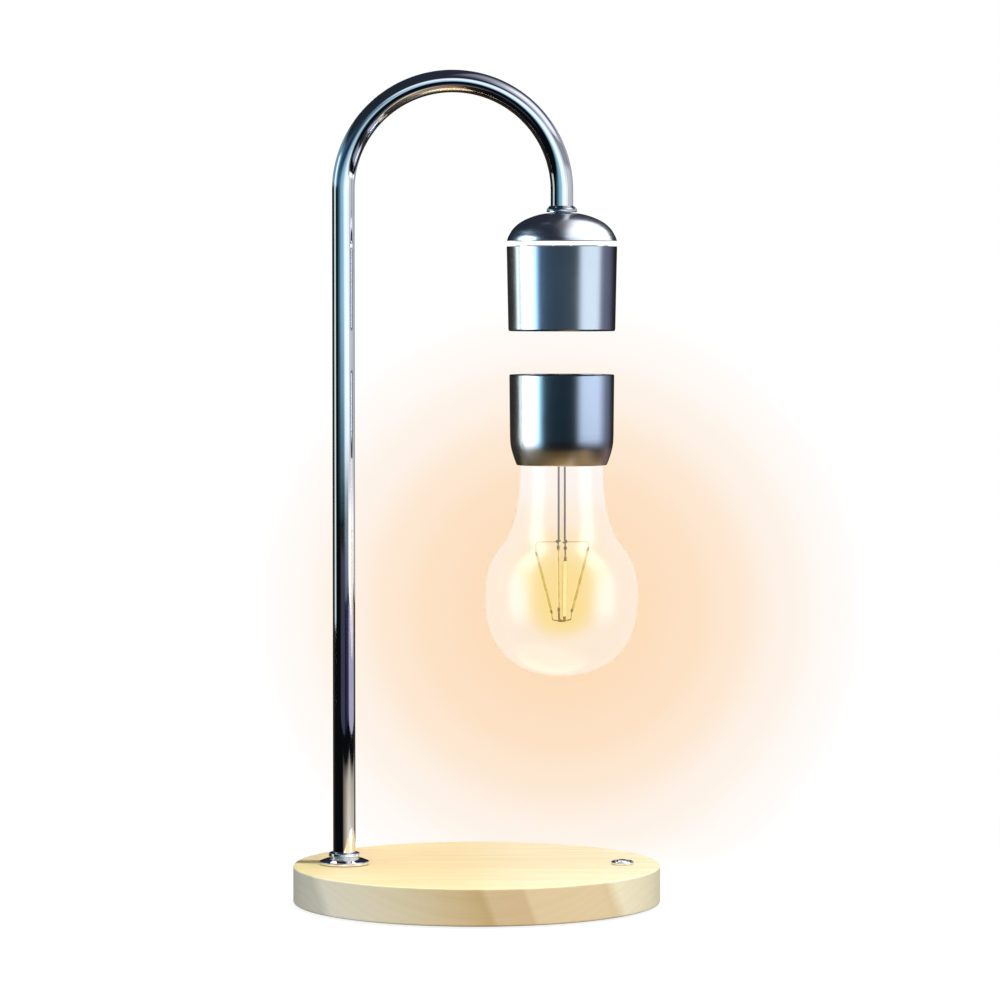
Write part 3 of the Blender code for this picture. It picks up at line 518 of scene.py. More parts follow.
def sweep(bm, points, r, segs=16, caps=True, shape=None):
    """A round bar along the points, carried without twist."""
    pts = [Vector(p) for p in points]
    normal, rows = None, []
    for i, p in enumerate(pts):
        d = (pts[min(i + 1, len(pts) - 1)] - pts[max(i - 1, 0)]).normalized()
        if normal is None:
            normal = d.orthogonal().normalized()
        normal = (normal - d * normal.dot(d)).normalized()
        side = d.cross(normal)
        rad = r(i / (len(pts) - 1)) if callable(r) else r
        rows.append([bm.verts.new(p + rad * (math.cos(2 * math.pi * j / segs) * normal
                                             + math.sin(2 * math.pi * j / segs) * side)) for j in range(segs)])
    for a, b in zip(rows, rows[1:]):
        for j in range(segs):
            bm.faces.new((a[j], a[(j + 1) % segs], b[(j + 1) % segs], b[j]))
    if caps:
        bm.faces.new(rows[0][::-1])
        bm.faces.new(rows[-1])


def smooth3(knots, steps):
    k = [Vector(p) for p in knots]
    k = [2 * k[0] - k[1]] + k + [2 * k[-1] - k[-2]]
    out = []
    for i in range(1, len(k) - 2):
        a, b, c, d = k[i - 1:i + 3]
        for s in range(steps):
            t = s / steps
            out.append(0.5 * (2 * b + (c - a) * t + (2 * a - 5 * b + 4 * c - d) * t * t + (3 * b - a - 3 * c + d) * t ** 3))
    out.append(k[-2])
    return out


def box(bm, x0, x1, y0, y1, z0, z1):
    made = bmesh.ops.create_cube(bm, size=1.0)["verts"]
    bmesh.ops.scale(bm, vec=(x1 - x0, y1 - y0, z1 - z0), verts=made)
    bmesh.ops.translate(bm, vec=((x0 + x1) / 2, (y0 + y1) / 2, (z0 + z1) / 2), verts=made)
    return made


def round_upright(bm, made, radius, segments=8):
    made = set(made)
    edges = [e for e in bm.edges if e.verts[0] in made and e.verts[1] in made
             and (e.verts[0].co.xy - e.verts[1].co.xy).length < 1e-6]
    bmesh.ops.bevel(bm, geom=edges, offset=radius, offset_type="OFFSET", segments=segments, profile=0.5, affect="EDGES")


def rod(bm, a, b, r, segs=32):
    a, b = Vector(a), Vector(b)
    made = bmesh.ops.create_cone(bm, cap_ends=True, segments=segs, radius1=r, radius2=r, depth=(b - a).length)["verts"]
    bmesh.ops.transform(bm, matrix=Matrix.Translation((a + b) / 2) @ (b - a).to_track_quat("Z", "Y").to_matrix().to_4x4(),
                        verts=made)
    return made


def solid(name, bm, mats, at=(0.0, 0.0, 0.0), angle=32.0):
    """The bmesh, in millimetres about `at`, as an object in metres."""
    bmesh.ops.recalc_face_normals(bm, faces=bm.faces)
    bmesh.ops.scale(bm, vec=(MM, MM, MM), verts=bm.verts)
    me = bpy.data.meshes.new(name)
    bm.to_mesh(me)
    bm.free()
    for m in mats if isinstance(mats, (list, tuple)) else [mats]:
        me.materials.append(m)
    me.shade_smooth()
    me.set_sharp_from_angle(angle=math.radians(angle))
    ob = bpy.data.objects.new(name, me)
    ob.location = [v * MM for v in at]
    scene.collection.objects.link(ob)
    return ob


def carve(ob, tools, angle=32.0):
    """Cuts or joins the tool shapes, then keeps the resulting mesh."""
    for tool, op in tools:
        mod = ob.modifiers.new(tool.name, "BOOLEAN")
        mod.operation, mod.solver, mod.object = op, "EXACT", tool
    bpy.context.view_layer.update()
    done = bpy.data.meshes.new_from_object(ob.evaluated_get(bpy.context.evaluated_depsgraph_get()))
    ob.modifiers.clear()
    ob.data = done
    for tool, _ in tools:
        bpy.data.objects.remove(tool, do_unlink=True)
    done.shade_smooth()
    done.set_sharp_from_angle(angle=math.radians(angle))
    return ob


def tool(name, bm, at=(0.0, 0.0, 0.0)):
    return solid(name, bm, PINE, at)


def place(ob, body, slot, *nodes):
    """ob stands for those CAD nodes and moves with that body; slot is not used."""
    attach(ob, body)
    if nodes:
        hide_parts(*nodes)
    return ob


def turned_piece(name, profile, segs, mat, at_x, body, slot, *nodes, closed=True, angle=32.0, at_y=0.0):
    bm = bmesh.new()
    turn(bm, profile, segs, closed)
    return place(solid(name, bm, mat, (at_x, at_y, 0.0), angle), body, slot, *nodes)


def ring_of(count, radius, start=0.0):
    return [(radius * math.cos(start + 2 * math.pi * i / count), radius * math.sin(start + 2 * math.pi * i / count))
            for i in range(count)]


# ============================ BASE ===========================================
bm = bmesh.new()
turn(bm, rounded([(0, BASE_Z0), (BASE_R - 4, BASE_Z0), (BASE_R, BASE_Z0, 0.8), (BASE_R, BASE_Z1, 0.8),
                  (BASE_R - 4, BASE_Z1), (0, BASE_Z1)], closed=False, hold=0.4), 256, closed=False)
board = solid("wood_base", bm, PINE)
cuts = []
bm = bmesh.new()
turn(bm, [(0, -1), (PLATE_R + 0.3, -1), (PLATE_R + 0.3, PLATE_Z1 + 0.3), (0, PLATE_Z1 + 0.3)], 160, closed=False)
cuts.append((tool("cut_plate", bm), "DIFFERENCE"))
bm = bmesh.new()
round_upright(bm, box(bm, -79, 79, -22, 22, 0, POCKET_Z), 8.0)
cuts.append((tool("cut_pocket", bm), "DIFFERENCE"))
bm = bmesh.new()
round_upright(bm, box(bm, -14, 14, -10, 79, 0, POCKET_Z), 5.0)
cuts.append((tool("cut_inlet_pocket", bm), "DIFFERENCE"))
bm = bmesh.new()
rod(bm, (0, 76, JACK_Z), (0, 94, JACK_Z), 4.8, 64)
cuts.append((tool("cut_inlet_hole", bm), "DIFFERENCE"))
bm = bmesh.new()
for at in BOARD_SCREWS.values():
    turn(bm, [(0, 11.5), (4.0, 11.5), (4.0, POCKET_Z + 1.0), (0, POCKET_Z + 1.0)], 24, closed=False, at=at)
cuts.append((tool("add_bosses", bm), "UNION"))
bm = bmesh.new()
turn(bm, [(0, 10), (4.6, 10), (4.6, 25), (0, 25)], 48, closed=False, at=(ARM_X, 0))
turn(bm, [(0, 10), (4.85, 10), (4.85, 25), (0, 25)], 64, closed=False, at=(SWITCH_X, 0))
for p in ring_of(3, SCREW_AT, math.pi / 6):
    turn(bm, [(0, 0), (1.9, 0), (1.9, 12.6), (0, 12.6)], 20, closed=False, at=p)
for at in BOARD_SCREWS.values():
    turn(bm, [(0, 10), (1.5, 10), (1.5, 17.3), (0, 17.3)], 16, closed=False, at=at)
cuts.append((tool("cut_holes", bm), "DIFFERENCE"))
place(carve(board, cuts, 28.0), "stand", "pine", "base_board")

bm = bmesh.new()
turn(bm, rounded([(0, PLATE_Z0), (PLATE_R, PLATE_Z0, 0.4), (PLATE_R, PLATE_Z1, 0.2), (0, PLATE_Z1)], closed=False), 160,
     closed=False)
plate = solid("steel_plate", bm, BLACK_STEEL)
bm = bmesh.new()
for p in ring_of(3, SCREW_AT, math.pi / 6):
    turn(bm, [(0, 0), (2.0, 0), (2.0, 5), (0, 5)], 32, closed=False, at=p)
place(carve(plate, [(tool("cut_plate_holes", bm), "DIFFERENCE")]), "stand", "black_steel", "bottom_plate")

for side, (x, y) in zip(("back_right", "back_left", "front_left", "front_right"), ring_of(4, FOOT_AT, math.pi / 4)):
    turned_piece("pad_" + side, rounded([(0, 0.15), (2.0, 0.15), (2.6, 0.0, 0.2), (8.0, 0, 0.5), (8.0, 1.3, 0.3), (0, 1.3)],
                                        closed=False, hold=0.1), 64, RUBBER, x, "stand", "rubber", "foot_" + side,
                 closed=False, at_y=y)

for side, (x, y) in zip(("right", "left", "front"), ring_of(3, SCREW_AT, math.pi / 6)):
    bm = bmesh.new()
    turn(bm, rounded([(0, 0.4), (2.0, 0.4), (3.0, 0.75, 0.3), (3.0, 1.3, 0.15), (1.5, 1.3), (1.5, 11.0), (0, 12.2)],
                     closed=False, hold=0.1), 48, closed=False)
    head = solid("plate_bolt_" + side, bm, ZINC, (x, y, 0))
    bm = bmesh.new()
    box(bm, -1.5, 1.5, -0.32, 0.32, 0.0, 1.2)
    a = tool("cross_a", bm, (x, y, 0))
    bm = bmesh.new()
    box(bm, -0.32, 0.32, -1.5, 1.5, 0.0, 1.2)
    b = tool("cross_b", bm, (x, y, 0))
    place(carve(head, [(a, "DIFFERENCE"), (b, "DIFFERENCE")]), "stand", "zinc", "plate_screw_" + side)

# power inlet at the back
bm = bmesh.new()
box(bm, -4.5, 4.5, 66, 76.5, JACK_Z - 4.4, JACK_Z + 4.4)
jack = solid("inlet_socket", bm, ABS)
bm = bmesh.new()
rod(bm, (0, 75.0, JACK_Z), (0, 84.2, JACK_Z), 4.35, 64)
a = tool("barrel", bm)
bm = bmesh.new()
rod(bm, (0, 83.4, JACK_Z), (0, 84.5, JACK_Z), 4.0, 64)
b = tool("barrel_lip", bm)
bm = bmesh.new()
rod(bm, (0, 74.0, JACK_Z), (0, 86.0, JACK_Z), 2.8, 48)
c = tool("bore", bm)
place(carve(jack, [(a, "UNION"), (b, "UNION"), (c, "DIFFERENCE")]), "stand", "black_abs", "dc_inlet")
bm = bmesh.new()
turn(bm, rounded([(0, 0), (1.0, 0), (1.0, 8.9, 0.5), (0, 8.9)], closed=False, hold=0.1), 32, closed=False)
bmesh.ops.rotate(bm, cent=(0, 0, 0), matrix=Matrix.Rotation(-math.pi / 2, 3, "X"), verts=bm.verts)
place(solid("inlet_pin", bm, BRASS, (0, 74.3, JACK_Z)), "stand", "brass", "dc_inlet_pin")

# push switch
turned_piece("switch_rim", rounded([(1.8, 9.0), (4.5, 9.0), (4.5, 19.3), (5.5, 19.3, 0.15), (5.5, 20.15, 0.3), (4.9, 20.75, 0.35),
                                    (3.8, 20.75, 0.3), (3.8, 10.4), (1.8, 10.4)], hold=0.08, step=12), 96, CHROME, SWITCH_X,
             "stand", "chrome", "switch_bezel")
cap = curve_through([(3.28, 20.45), (2.7, 20.95), (1.9, 21.25), (1.0, 21.41), (0.3, 21.45)], 5)
turned_piece("switch_cap", [(0, 8.0), (1.5, 8.0), (1.5, 17.0), (3.5, 17.0), (3.5, 17.2), (3.5, 19.9), (3.48, 20.1), (3.4, 20.28)]
             + [tuple(p) for p in cap] + [(0, 21.45)], 96, CHROME, SWITCH_X, "switch_button", "chrome", "switch_button",
             closed=False)

# ============================ ARM ============================================
turned_piece("arm_foot", rounded([(5.85, 19.3), (12.25, 19.3, 0.3), (12.25, 20.7, 0.5), (9.6, 21.75, 1.5), (7.9, 22.25, 0.6),
                                  (7.0, 22.7, 0.25), (7.65, 23.3, 0.4), (7.5, 24.7, 0.4), (6.5, 25.15, 0.25), (5.85, 25.1)],
                                 hold=0.12, step=11), 160, CHROME, ARM_X, "stand", "chrome", "arm_flange", angle=40)

TUBE_SEGS, ARCH_STEPS = 96, 168
bm = bmesh.new()


def tube_rows(x, z, turned_by):
    across = Vector((math.cos(turned_by), 0, -math.sin(turned_by)))
    return [[bm.verts.new(Vector((x, 0, z)) + r * (math.cos(a) * across + math.sin(a) * Vector((0, 1, 0))))
             for a in (2 * math.pi * i / TUBE_SEGS for i in range(TUBE_SEGS))] for r in (TUBE_R, TUBE_BORE)]


rows = [tube_rows(ARM_X, z, 0.0) for z in [19.3, 19.8] + [60 + 48 * i for i in range(6)] + [ARCH_Z - 1.0]]
for i in range(ARCH_STEPS + 1):
    a = math.pi * i / ARCH_STEPS
    rows.append(tube_rows(ARCH_X - ARCH_R * math.cos(a), ARCH_Z + ARCH_R * math.sin(a), a))
rows += [tube_rows(HEAD_X, z, math.pi) for z in (ARCH_Z - 1.0, DOME_Z1 + 0.8, DOME_Z1 + 0.3)]
for (out_a, in_a), (out_b, in_b) in zip(rows, rows[1:]):
    for i in range(TUBE_SEGS):
        k = (i + 1) % TUBE_SEGS
        bm.faces.new((out_a[i], out_a[k], out_b[k], out_b[i]))
        bm.faces.new((in_a[k], in_a[i], in_b[i], in_b[k]))
for outside, inside in (rows[0], rows[-1]):
    for i in range(TUBE_SEGS):
        k = (i + 1) % TUBE_SEGS
        bm.faces.new((outside[i], outside[k], inside[k], inside[i]))
tube = place(solid("bent_tube", bm, CHROME), "stand", "chrome", "arm_tube")

turned_piece("collar", [(5.85, 338.6), (7.2, 338.6), (7.36, 338.68), (7.45, 338.9), (7.48, 339.2), (7.44, 339.55), (7.32, 339.95),
                         (7.1, 340.35), (6.8, 340.7), (6.5, 341.0), (6.28, 341.3), (6.12, 341.5), (5.98, 341.6), (5.85, 341.6)], 128, CHROME, HEAD_X, "stand", "chrome", "neck_collar",
             angle=40)

# ============================ HEAD ===========================================
shell = curve_through([(26.85, 324.6), (26.35, 326.25), (25.5, 327.9), (24.3, 329.9), (22.6, 331.75), (20.4, 333.5),
                       (17.6, 335.05), (14.0, 336.5), (9.6, 337.7), (5.2, 338.2)], 5)
turned_piece("dome", [(24.6, 324.45), (26.72, 324.45), (26.82, 324.5)] + [tuple(p) for p in shell]
             + [(4.85, 338.2), (4.7, 338.1), (4.7, 336.3), (14.0, 334.6), (20.6, 330.6), (24.2, 326.2)], 192, SATIN, HEAD_X,
             "stand", "satin_steel", "head_dome")
turned_piece("glow_ring", rounded([(24.9, 322.2), (26.95, 322.2, 0.25), (26.95, 324.15, 0.25), (24.9, 324.15)], hold=0.1), 192,
             RING_LIT, HEAD_X, "stand", "light_ring", "light_ring")
turned_piece("sleeve", rounded([(24.5, 280.6), (25.7, 280.6, 0.35), (26.12, 281.5, 0.5), (26.95, 321.9, 0.25), (24.5, 321.9)],
                               hold=0.3, step=10), 192, SATIN, HEAD_X, "stand", "satin_steel", "head_sleeve")
turned_piece("head_bottom", rounded([(0, 281.25), (17.0, 281.25), (17.3, 281.0, 0.1), (24.2, 281.0, 0.25), (24.2, 286.5),
                                     (23.5, 286.5), (23.5, 282.8), (0, 282.8)], closed=False, hold=0.1), 160, ABS, HEAD_X,
             "stand", "black_abs", "head_cover", closed=False)

# ============================ FLOATING BULB ==================================
wall = curve_through([(21.35, 215.45), (21.75, 215.25), (22.15, 215.65), (22.95, 217.6), (23.85, 220.3), (24.75, 223.6),
                      (25.18, 226.6), (25.32, 230.0)], 4)
turned_piece("cup", [(21.25, 215.8)] + [tuple(p) for p in wall]
             + [(25.34, 231.0), (25.61, 258.3), (25.6, 258.9), (25.48, 259.25), (25.2, 259.4), (24.5, 259.4), (24.3, 259.2),
                (24.3, 258.8), (24.2, 228.5), (22.8, 222.0), (21.25, 217.0)], 192, SATIN, HEAD_X, "bulb", "satin_steel",
             "bulb_cup")
turned_piece("cup_top", rounded([(0, 257.2), (23.9, 257.2), (23.9, 259.0, 0.25), (18.2, 259.0, 0.1), (18.0, 258.8, 0.1),
                                 (0, 258.8)], closed=False, hold=0.1), 160, ABS, HEAD_X, "bulb", "black_abs", "cup_lid",
             closed=False)

# glass: a round belly, a shoulder and a straight neck
outer = []
for i in range(29):
    z = GLASS_Z - GLASS_H * math.cos(math.pi / 2 * i / 28)
    tt = (GLASS_Z - z) / GLASS_H
    outer.append(Vector((GLASS_R * max(0.0, 1.0 - tt ** 2.25) ** (1 / 2.25), z)))
outer[0].x = 0.0


def hermite(p0, p1, m0, m1, steps):
    p0, p1, m0, m1 = (Vector(v) for v in (p0, p1, m0, m1))
    return [(2 * t ** 3 - 3 * t * t + 1) * p0 + (t ** 3 - 2 * t * t + t) * m0 + (3 * t * t - 2 * t ** 3) * p1
            + (t ** 3 - t * t) * m1 for t in (i / steps for i in range(1, steps + 1))]


slope = Vector((-0.8, 1.0)).normalized() * 36.0
outer += hermite(outer[-1], (30.0, 176.0), (0.0, 28.0), slope, 18)
outer += hermite((30.0, 176.0), (NECK_R, 212.0), slope, (0.0, 34.0), 20)
outer += [Vector((NECK_R, z)) for z in (213.0, 225.0, 237.6, 238.0)]
inner = []
for i, p in enumerate(outer):
    d = outer[min(len(outer) - 1, i + 1)] - outer[max(0, i - 1)]
    n = Vector((-d.y, d.x)).normalized()
    q = p + n * GLASS_T
    inner.append((max(0.0, q.x), q.y))
inner[0] = (0.0, outer[0].y + GLASS_T)
inner[-1] = (NECK_R - GLASS_T, 238.0)
bm = bmesh.new()
turn(bm, [tuple(p) for p in outer], 160, closed=False)
out_faces = len(bm.faces)
rest = bmesh.new()
turn(rest, [tuple(outer[-1])] + inner[::-1], 160, closed=False)
part = bpy.data.meshes.new("inside")
rest.to_mesh(part)
rest.free()
bm.from_mesh(part)
bpy.data.meshes.remove(part)
for i, f in enumerate(bm.faces):
    f.material_index = 0 if i < out_faces else 1
bmesh.ops.remove_doubles(bm, verts=bm.verts, dist=1e-5)
place(solid("glass", bm, [GLASS_OUT, GLASS_IN], (HEAD_X, 0, 0), 60), "bulb", "clear_glass", "bulb_glass")

bm = bmesh.new()
turn(bm, rounded([(0, 139.7), (0.6, 139.7, 0.3), (0.6, 214.6, 3.0), (3.0, 217.0, 1.5), (3.4, 224.0, 3.0), (6.0, 229.0, 3.0),
                  (12.0, 233.0, 4.0), (19.3, 235.8, 0.4), (19.3, 236.8, 0.4), (11.5, 234.4, 4.0), (5.0, 231.0, 3.0),
                  (2.4, 226.6, 1.0), (0, 225.6)], closed=False, hold=0.3), 64, closed=False)
stem = solid("stem", bm, STEM_GLASS, (HEAD_X, 0, 0))
bm = bmesh.new()
for s in (-1.5, 1.5):
    rod(bm, (s, 0, 212.5), (s, 0, 232), 0.8, 24)
place(carve(stem, [(tool("cut_seals", bm, (HEAD_X, 0, 0)), "DIFFERENCE")]), "bulb", "clear_glass", "glass_stem")

TWIST, SKEW = math.radians(7), math.radians(8)
LEAD_R, BAR_Z = 0.5, 177.6
TOPS = [(13.2, 174.8), (12.7, 175.0), (12.7, 172.6), (12.7, 171.0)]
FEET = [(5.0, 143.0), (5.0, 143.0), (5.0, 142.6), (5.0, 139.9)]


def polar(k, r, z, more=0.0):
    a = TWIST + more + k * math.pi / 2
    return Vector((r * math.cos(a), r * math.sin(a), z))


def drop(k):
    r, z = TOPS[k]
    return [polar(k, r - 1.3, BAR_Z), polar(k, r - 0.35, BAR_Z - 0.4), polar(k, r, BAR_Z - 1.3), polar(k, r, z + 0.4)]


for side, s, k, branch in (("right", 1, 0, 3), ("left", -1, 2, 1)):
    bm = bmesh.new()
    upright = [(1.5 * s, 0, 243.6), (1.5 * s, 0, 230), (1.5 * s, 0, 210), (1.5 * s, 0, 190), (1.5 * s, 0, BAR_Z + 2.6)]
    sweep(bm, upright[:-1] + smooth3([upright[-1], (1.5 * s, 0, BAR_Z + 1.2), (1.95 * s, 0, BAR_Z + 0.25), polar(k, 3.2, BAR_Z),
                                      polar(k, 8.0, BAR_Z)] + drop(k), 5), lambda f: LEAD_R * (1.0 if f < 0.36 else 0.62))
    lead = solid("lead_" + side, bm, WIRE, (HEAD_X, 0, 0), angle=60)
    bm = bmesh.new()
    sweep(bm, smooth3([(2.3 * s, 0.15 * s, BAR_Z + 0.1), (1.9 * s, -1.6 * s, BAR_Z), polar(branch, 6.0, BAR_Z)] + drop(branch), 5),
          LEAD_R * 0.75)
    arm = tool("branch", bm, (HEAD_X, 0, 0))
    bm = bmesh.new()
    beads = [((2.0 * s, 0.05 * s, BAR_Z + 0.15), 0.8)] + ([(polar(3, 12.7, 175.2), 0.85)] if s > 0 else [])
    for at, size in beads:
        made = bmesh.ops.create_uvsphere(bm, u_segments=20, v_segments=12, radius=size)["verts"]
        bmesh.ops.scale(bm, vec=(1.0, 1.0, 1.15), verts=made)
        bmesh.ops.translate(bm, vec=at, verts=made)
    weld = tool("weld", bm, (HEAD_X, 0, 0))
    carve(lead, [(arm, "UNION"), (weld, "UNION")], 50)
    # the level run and the side drops have a tan coat, the rest is dark
    lead.data.materials.clear()
    lead.data.materials.append(WIRE)
    lead.data.materials.append(WIRE_TAN)
    for f in lead.data.polygons:
        x, y, z = f.center / MM
        f.material_index = 1 if z < BAR_Z + 0.5 and abs(x) > 2.9 else 0
    place(lead, "bulb", "lead_wire", "lead_wire_" + side)

# filaments: a strip coated with phosphor on its wide faces, a metal tab at each end
for k, side in enumerate(("right", "back", "left", "front")):
    a, b = polar(k, *TOPS[k]), polar(k, *FEET[k], SKEW)
    d = (b - a).normalized()
    out_dir = (polar(k, 1.0, 0) - d * polar(k, 1.0, 0).dot(d)).normalized()
    wide = d.cross(out_dir)
    bm = bmesh.new()

    def strip(p, q, w, h, power, n=28):
        rows = []
        for point, grow in ((p, 0.82), (p + (q - p).normalized() * 0.15, 1.0), (q - (q - p).normalized() * 0.15, 1.0), (q, 0.82)):
            row = []
            for j in range(n):
                ang = 2 * math.pi * j / n
                cx, cy = math.cos(ang), math.sin(ang)
                row.append(bm.verts.new(point + wide * (w / 2 * grow * math.copysign(abs(cx) ** (2 / power), cx))
                                        + out_dir * (h / 2 * grow * math.copysign(abs(cy) ** (2 / power), cy))))
            rows.append(row)
        made = []
        for r0, r1 in zip(rows, rows[1:]):
            for j in range(n):
                made.append(bm.faces.new((r0[j], r0[(j + 1) % n], r1[(j + 1) % n], r1[j])))
        made += [bm.faces.new(rows[0][::-1]), bm.faces.new(rows[-1])]
        return made

    # the one at the back is turned a quarter, so that only its edge is seen
    w, h, lit = {"back": (0.9, 1.9, wide), "front": (2.3, 1.5, out_dir)}.get(side, (1.9, 1.5, out_dir))
    core = strip(a + d * 2.0, b - d * 1.6, w, h, 3.2)
    for f in core:
        f.normal_update()
        f.material_index = 0 if abs(f.normal.dot(lit)) > 0.8 else 1
    for f in strip(a - d * 0.1, a + d * 2.4, 1.3, 1.0, 4.0, 12) + strip(b - d * 2.2, b + d * 0.1, 1.3, 1.0, 4.0, 12):
        f.material_index = 2
    place(solid("light_strip_" + side, bm, [PHOSPHOR, SUBSTRATE, BRONZE], (HEAD_X, 0, 0), 40), "bulb", "led_phosphor",
          "filament_" + side)

# star that joins the filaments' feet
STAR_Z, STAR_T, STAR_W = 138.6, 0.5, 0.5
bm = bmesh.new()
hub = [bm.verts.new((x, y, 0)) for x, y in ((STAR_W, STAR_W), (-STAR_W, STAR_W), (-STAR_W, -STAR_W), (STAR_W, -STAR_W))]
bm.faces.new(hub)
for k in range(4):
    cc, ss = math.cos(k * math.pi / 2), math.sin(k * math.pi / 2)
    row = [hub[(k + 3) % 4], hub[k]]
    for r, rise in ((2.6, 0.1), (3.4, 0.25), (4.2, 0.42), (4.7, 0.75), (5.0, FEET[k][1] - STAR_Z - STAR_T - 0.35)):
        nxt = [bm.verts.new((r * cc - w * ss, r * ss + w * cc, rise)) for w in (-STAR_W, STAR_W)]
        bm.faces.new((row[0], nxt[0], nxt[1], row[1]))
        row = nxt
thick = bmesh.ops.extrude_face_region(bm, geom=list(bm.faces))["geom"]
bmesh.ops.translate(bm, vec=(0, 0, STAR_T), verts=[g for g in thick if isinstance(g, bmesh.types.BMVert)])
bmesh.ops.rotate(bm, cent=(0, 0, 0), matrix=Matrix.Rotation(TWIST + SKEW, 3, "Z"), verts=bm.verts)
bmesh.ops.translate(bm, vec=(0, 0, STAR_Z), verts=bm.verts)
star = solid("star", bm, BRONZE, (HEAD_X, 0, 0))
bm = bmesh.new()
turn(bm, rounded([(0, 138.35), (1.9, 138.35, 0.3), (1.9, 139.2, 0.3), (0, 139.2)], closed=False, hold=0.1), 40, closed=False)
place(carve(star, [(tool("hub", bm, (HEAD_X, 0, 0)), "UNION")]), "bulb", "lead_wire", "filament_star")

# ---- finishes of the pieces kept from the model ------------------------------
KEPT = {
    ZINC: ["arm_stud", "arm_washer", "arm_nut", "head_stud", "head_nut", "head_washer", "board_screw_left",
           "board_screw_right", "switch_nut", "switch_spring"],
    ABS: ["head_chassis", "coil_bobbin", "switch_block", "magnet_tray", "neck_ring"],
    BOARD: ["control_board", "driver_board", "hall_board", "ring_led_board", "receiver_board"],
    COPPER: ["transmitter_coil", "coil_winding", "receiver_coil"],
    IRON: ["magnet_core"],
    NICKEL: ["bias_magnet", "lift_magnet"],
    PVC: ["arm_cable", "inlet_cable", "switch_cable"],
}
for mat, names in KEPT.items():
    for name in names:
        node = frame["nodes"][name]
        node.data.materials.clear()
        node.data.materials.append(mat)

# ============================ STUDIO =========================================
# a white sweep: floor and, just behind the lamp, a wall with the bulb's glow on
# it. It shows from its front only.
SWEEP_Y, COVE = 0.20, 0.05
GLOW_X, GLOW_Z, GLOW_R = 0.0445, 0.130, 0.166
bm = bmesh.new()
line = [(-3.0, 0.0), (-0.4, 0.0), (-0.15, 0.0), (0.05, 0.0)]
line += [(SWEEP_Y - COVE + COVE * math.sin(a), COVE - COVE * math.cos(a)) for a in (math.pi / 2 * i / 12 for i in range(13))]
line += [(SWEEP_Y, 0.3), (SWEEP_Y, 0.62)]
lanes = [-2.5, -0.4, 0.0, 0.4, 2.5]
grid = [[bm.verts.new((x, y, z)) for x in lanes] for y, z in line]
for a, b in zip(grid, grid[1:]):
    for i in range(len(lanes) - 1):
        bm.faces.new((a[i], a[i + 1], b[i + 1], b[i]))
me = bpy.data.meshes.new("sweep")
bm.to_mesh(me)
bm.free()
me.shade_smooth()
sweep_ob = bpy.data.objects.new("sweep", me)
scene.collection.objects.link(sweep_ob)
sweep_mat, t = new_material("white_sweep")
c = t.coords()
x, y, z = t.split(c)[:3]
r = t.vmath("LENGTH", t.join(t.math("SUBTRACT", x, GLOW_X), 0.0, t.math("SUBTRACT", z, GLOW_Z)))
h = t.ramp(t.math("DIVIDE", r, GLOW_R), [(0.0, 0.59), (0.14, 0.56), (0.28, 0.485), (0.42, 0.445), (0.55, 0.36), (0.72, 0.20), (0.87, 0.09), (1.0, 0.0)],
           "EASE")
h = t.math("MULTIPLY", h, t.span(y, 0.06, 0.19))
paper = t.noise(c, 700.0, 3.0)
glow_col = t.mix(h, (1.0, 1.0, 1.0), (0.95, 0.45, 0.0))
glow_col = t.mix(t.span(paper, 0.3, 0.7, 0.0, 0.004), glow_col, (0.97, 0.97, 0.97))
lit = t.node("ShaderNodeEmission")
t.put(lit.inputs["Color"], glow_col)
far = t.span(t.vmath("LENGTH", t.join(x, y, 0.0)), 0.9, 1.5, 0.0, 0.15)      # past the reach of the lights
t.put(lit.inputs["Strength"], t.math("ADD", t.span(y, 0.10, 0.19, 0.86, 1.005), far))
dif = t.node("ShaderNodeBsdfDiffuse")
t.put(dif.inputs["Color"], t.mix(t.span(y, 0.10, 0.19), (0.17, 0.17, 0.17), (0.0, 0.0, 0.0)))
both = t.node("ShaderNodeAddShader")
t.put(both.inputs[0], lit.outputs[0])
t.put(both.inputs[1], dif.outputs[0])
one = t.node("ShaderNodeMixShader")
t.put(one.inputs[0], t.node("ShaderNodeNewGeometry").outputs["Backfacing"])
t.put(one.inputs[1], both.outputs[0])
t.put(one.inputs[2], t.node("ShaderNodeBsdfTransparent").outputs[0])
t.output(one.outputs[0])
me.materials.append(sweep_mat)
for flag in ("visible_diffuse", "visible_glossy", "visible_transmission", "visible_volume_scatter", "visible_shadow"):
    setattr(sweep_ob, flag, False)

# the room: white where the camera looks past the lamp. Light and reflections
# find a dark studio: navy above, black at the height of the lamp, and below it
# a copper-coloured floor that turns grey to the right.
world = bpy.data.worlds.new("studio")
scene.world = world
t = Tree(world)
d = t.vmath("NORMALIZE", t.coords("Generated"))
dx, dy, dz = t.split(d)[:3]
sky = t.mix(t.span(dx, -0.7, 0.3), (0.016, 0.024, 0.034), (0.028, 0.027, 0.050))
above = t.mix(t.span(dz, 0.10, 0.45), (0.004, 0.006, 0.010), sky)
floor_col = t.ramp(t.span(dx, -0.35, 0.95, smooth=False), [(0.0, (0.004, 0.005, 0.006)), (0.13, (0.02, 0.014, 0.01)),
                                                          (0.27, (0.37, 0.22, 0.105)), (0.42, (0.30, 0.24, 0.17)),
                                                          (0.52, (0.36, 0.31, 0.23)), (0.62, (0.10, 0.09, 0.08)),
                                                          (0.72, (0.03, 0.03, 0.035)), (1.0, (0.02, 0.022, 0.03))], "EASE")
edge = t.span(dx, 0.0, 0.85, -0.80, -0.29, smooth=False)
below = t.mix(t.span(dz, t.math("ADD", edge, 0.10), t.math("SUBTRACT", edge, 0.10)), (0.003, 0.004, 0.005), floor_col)
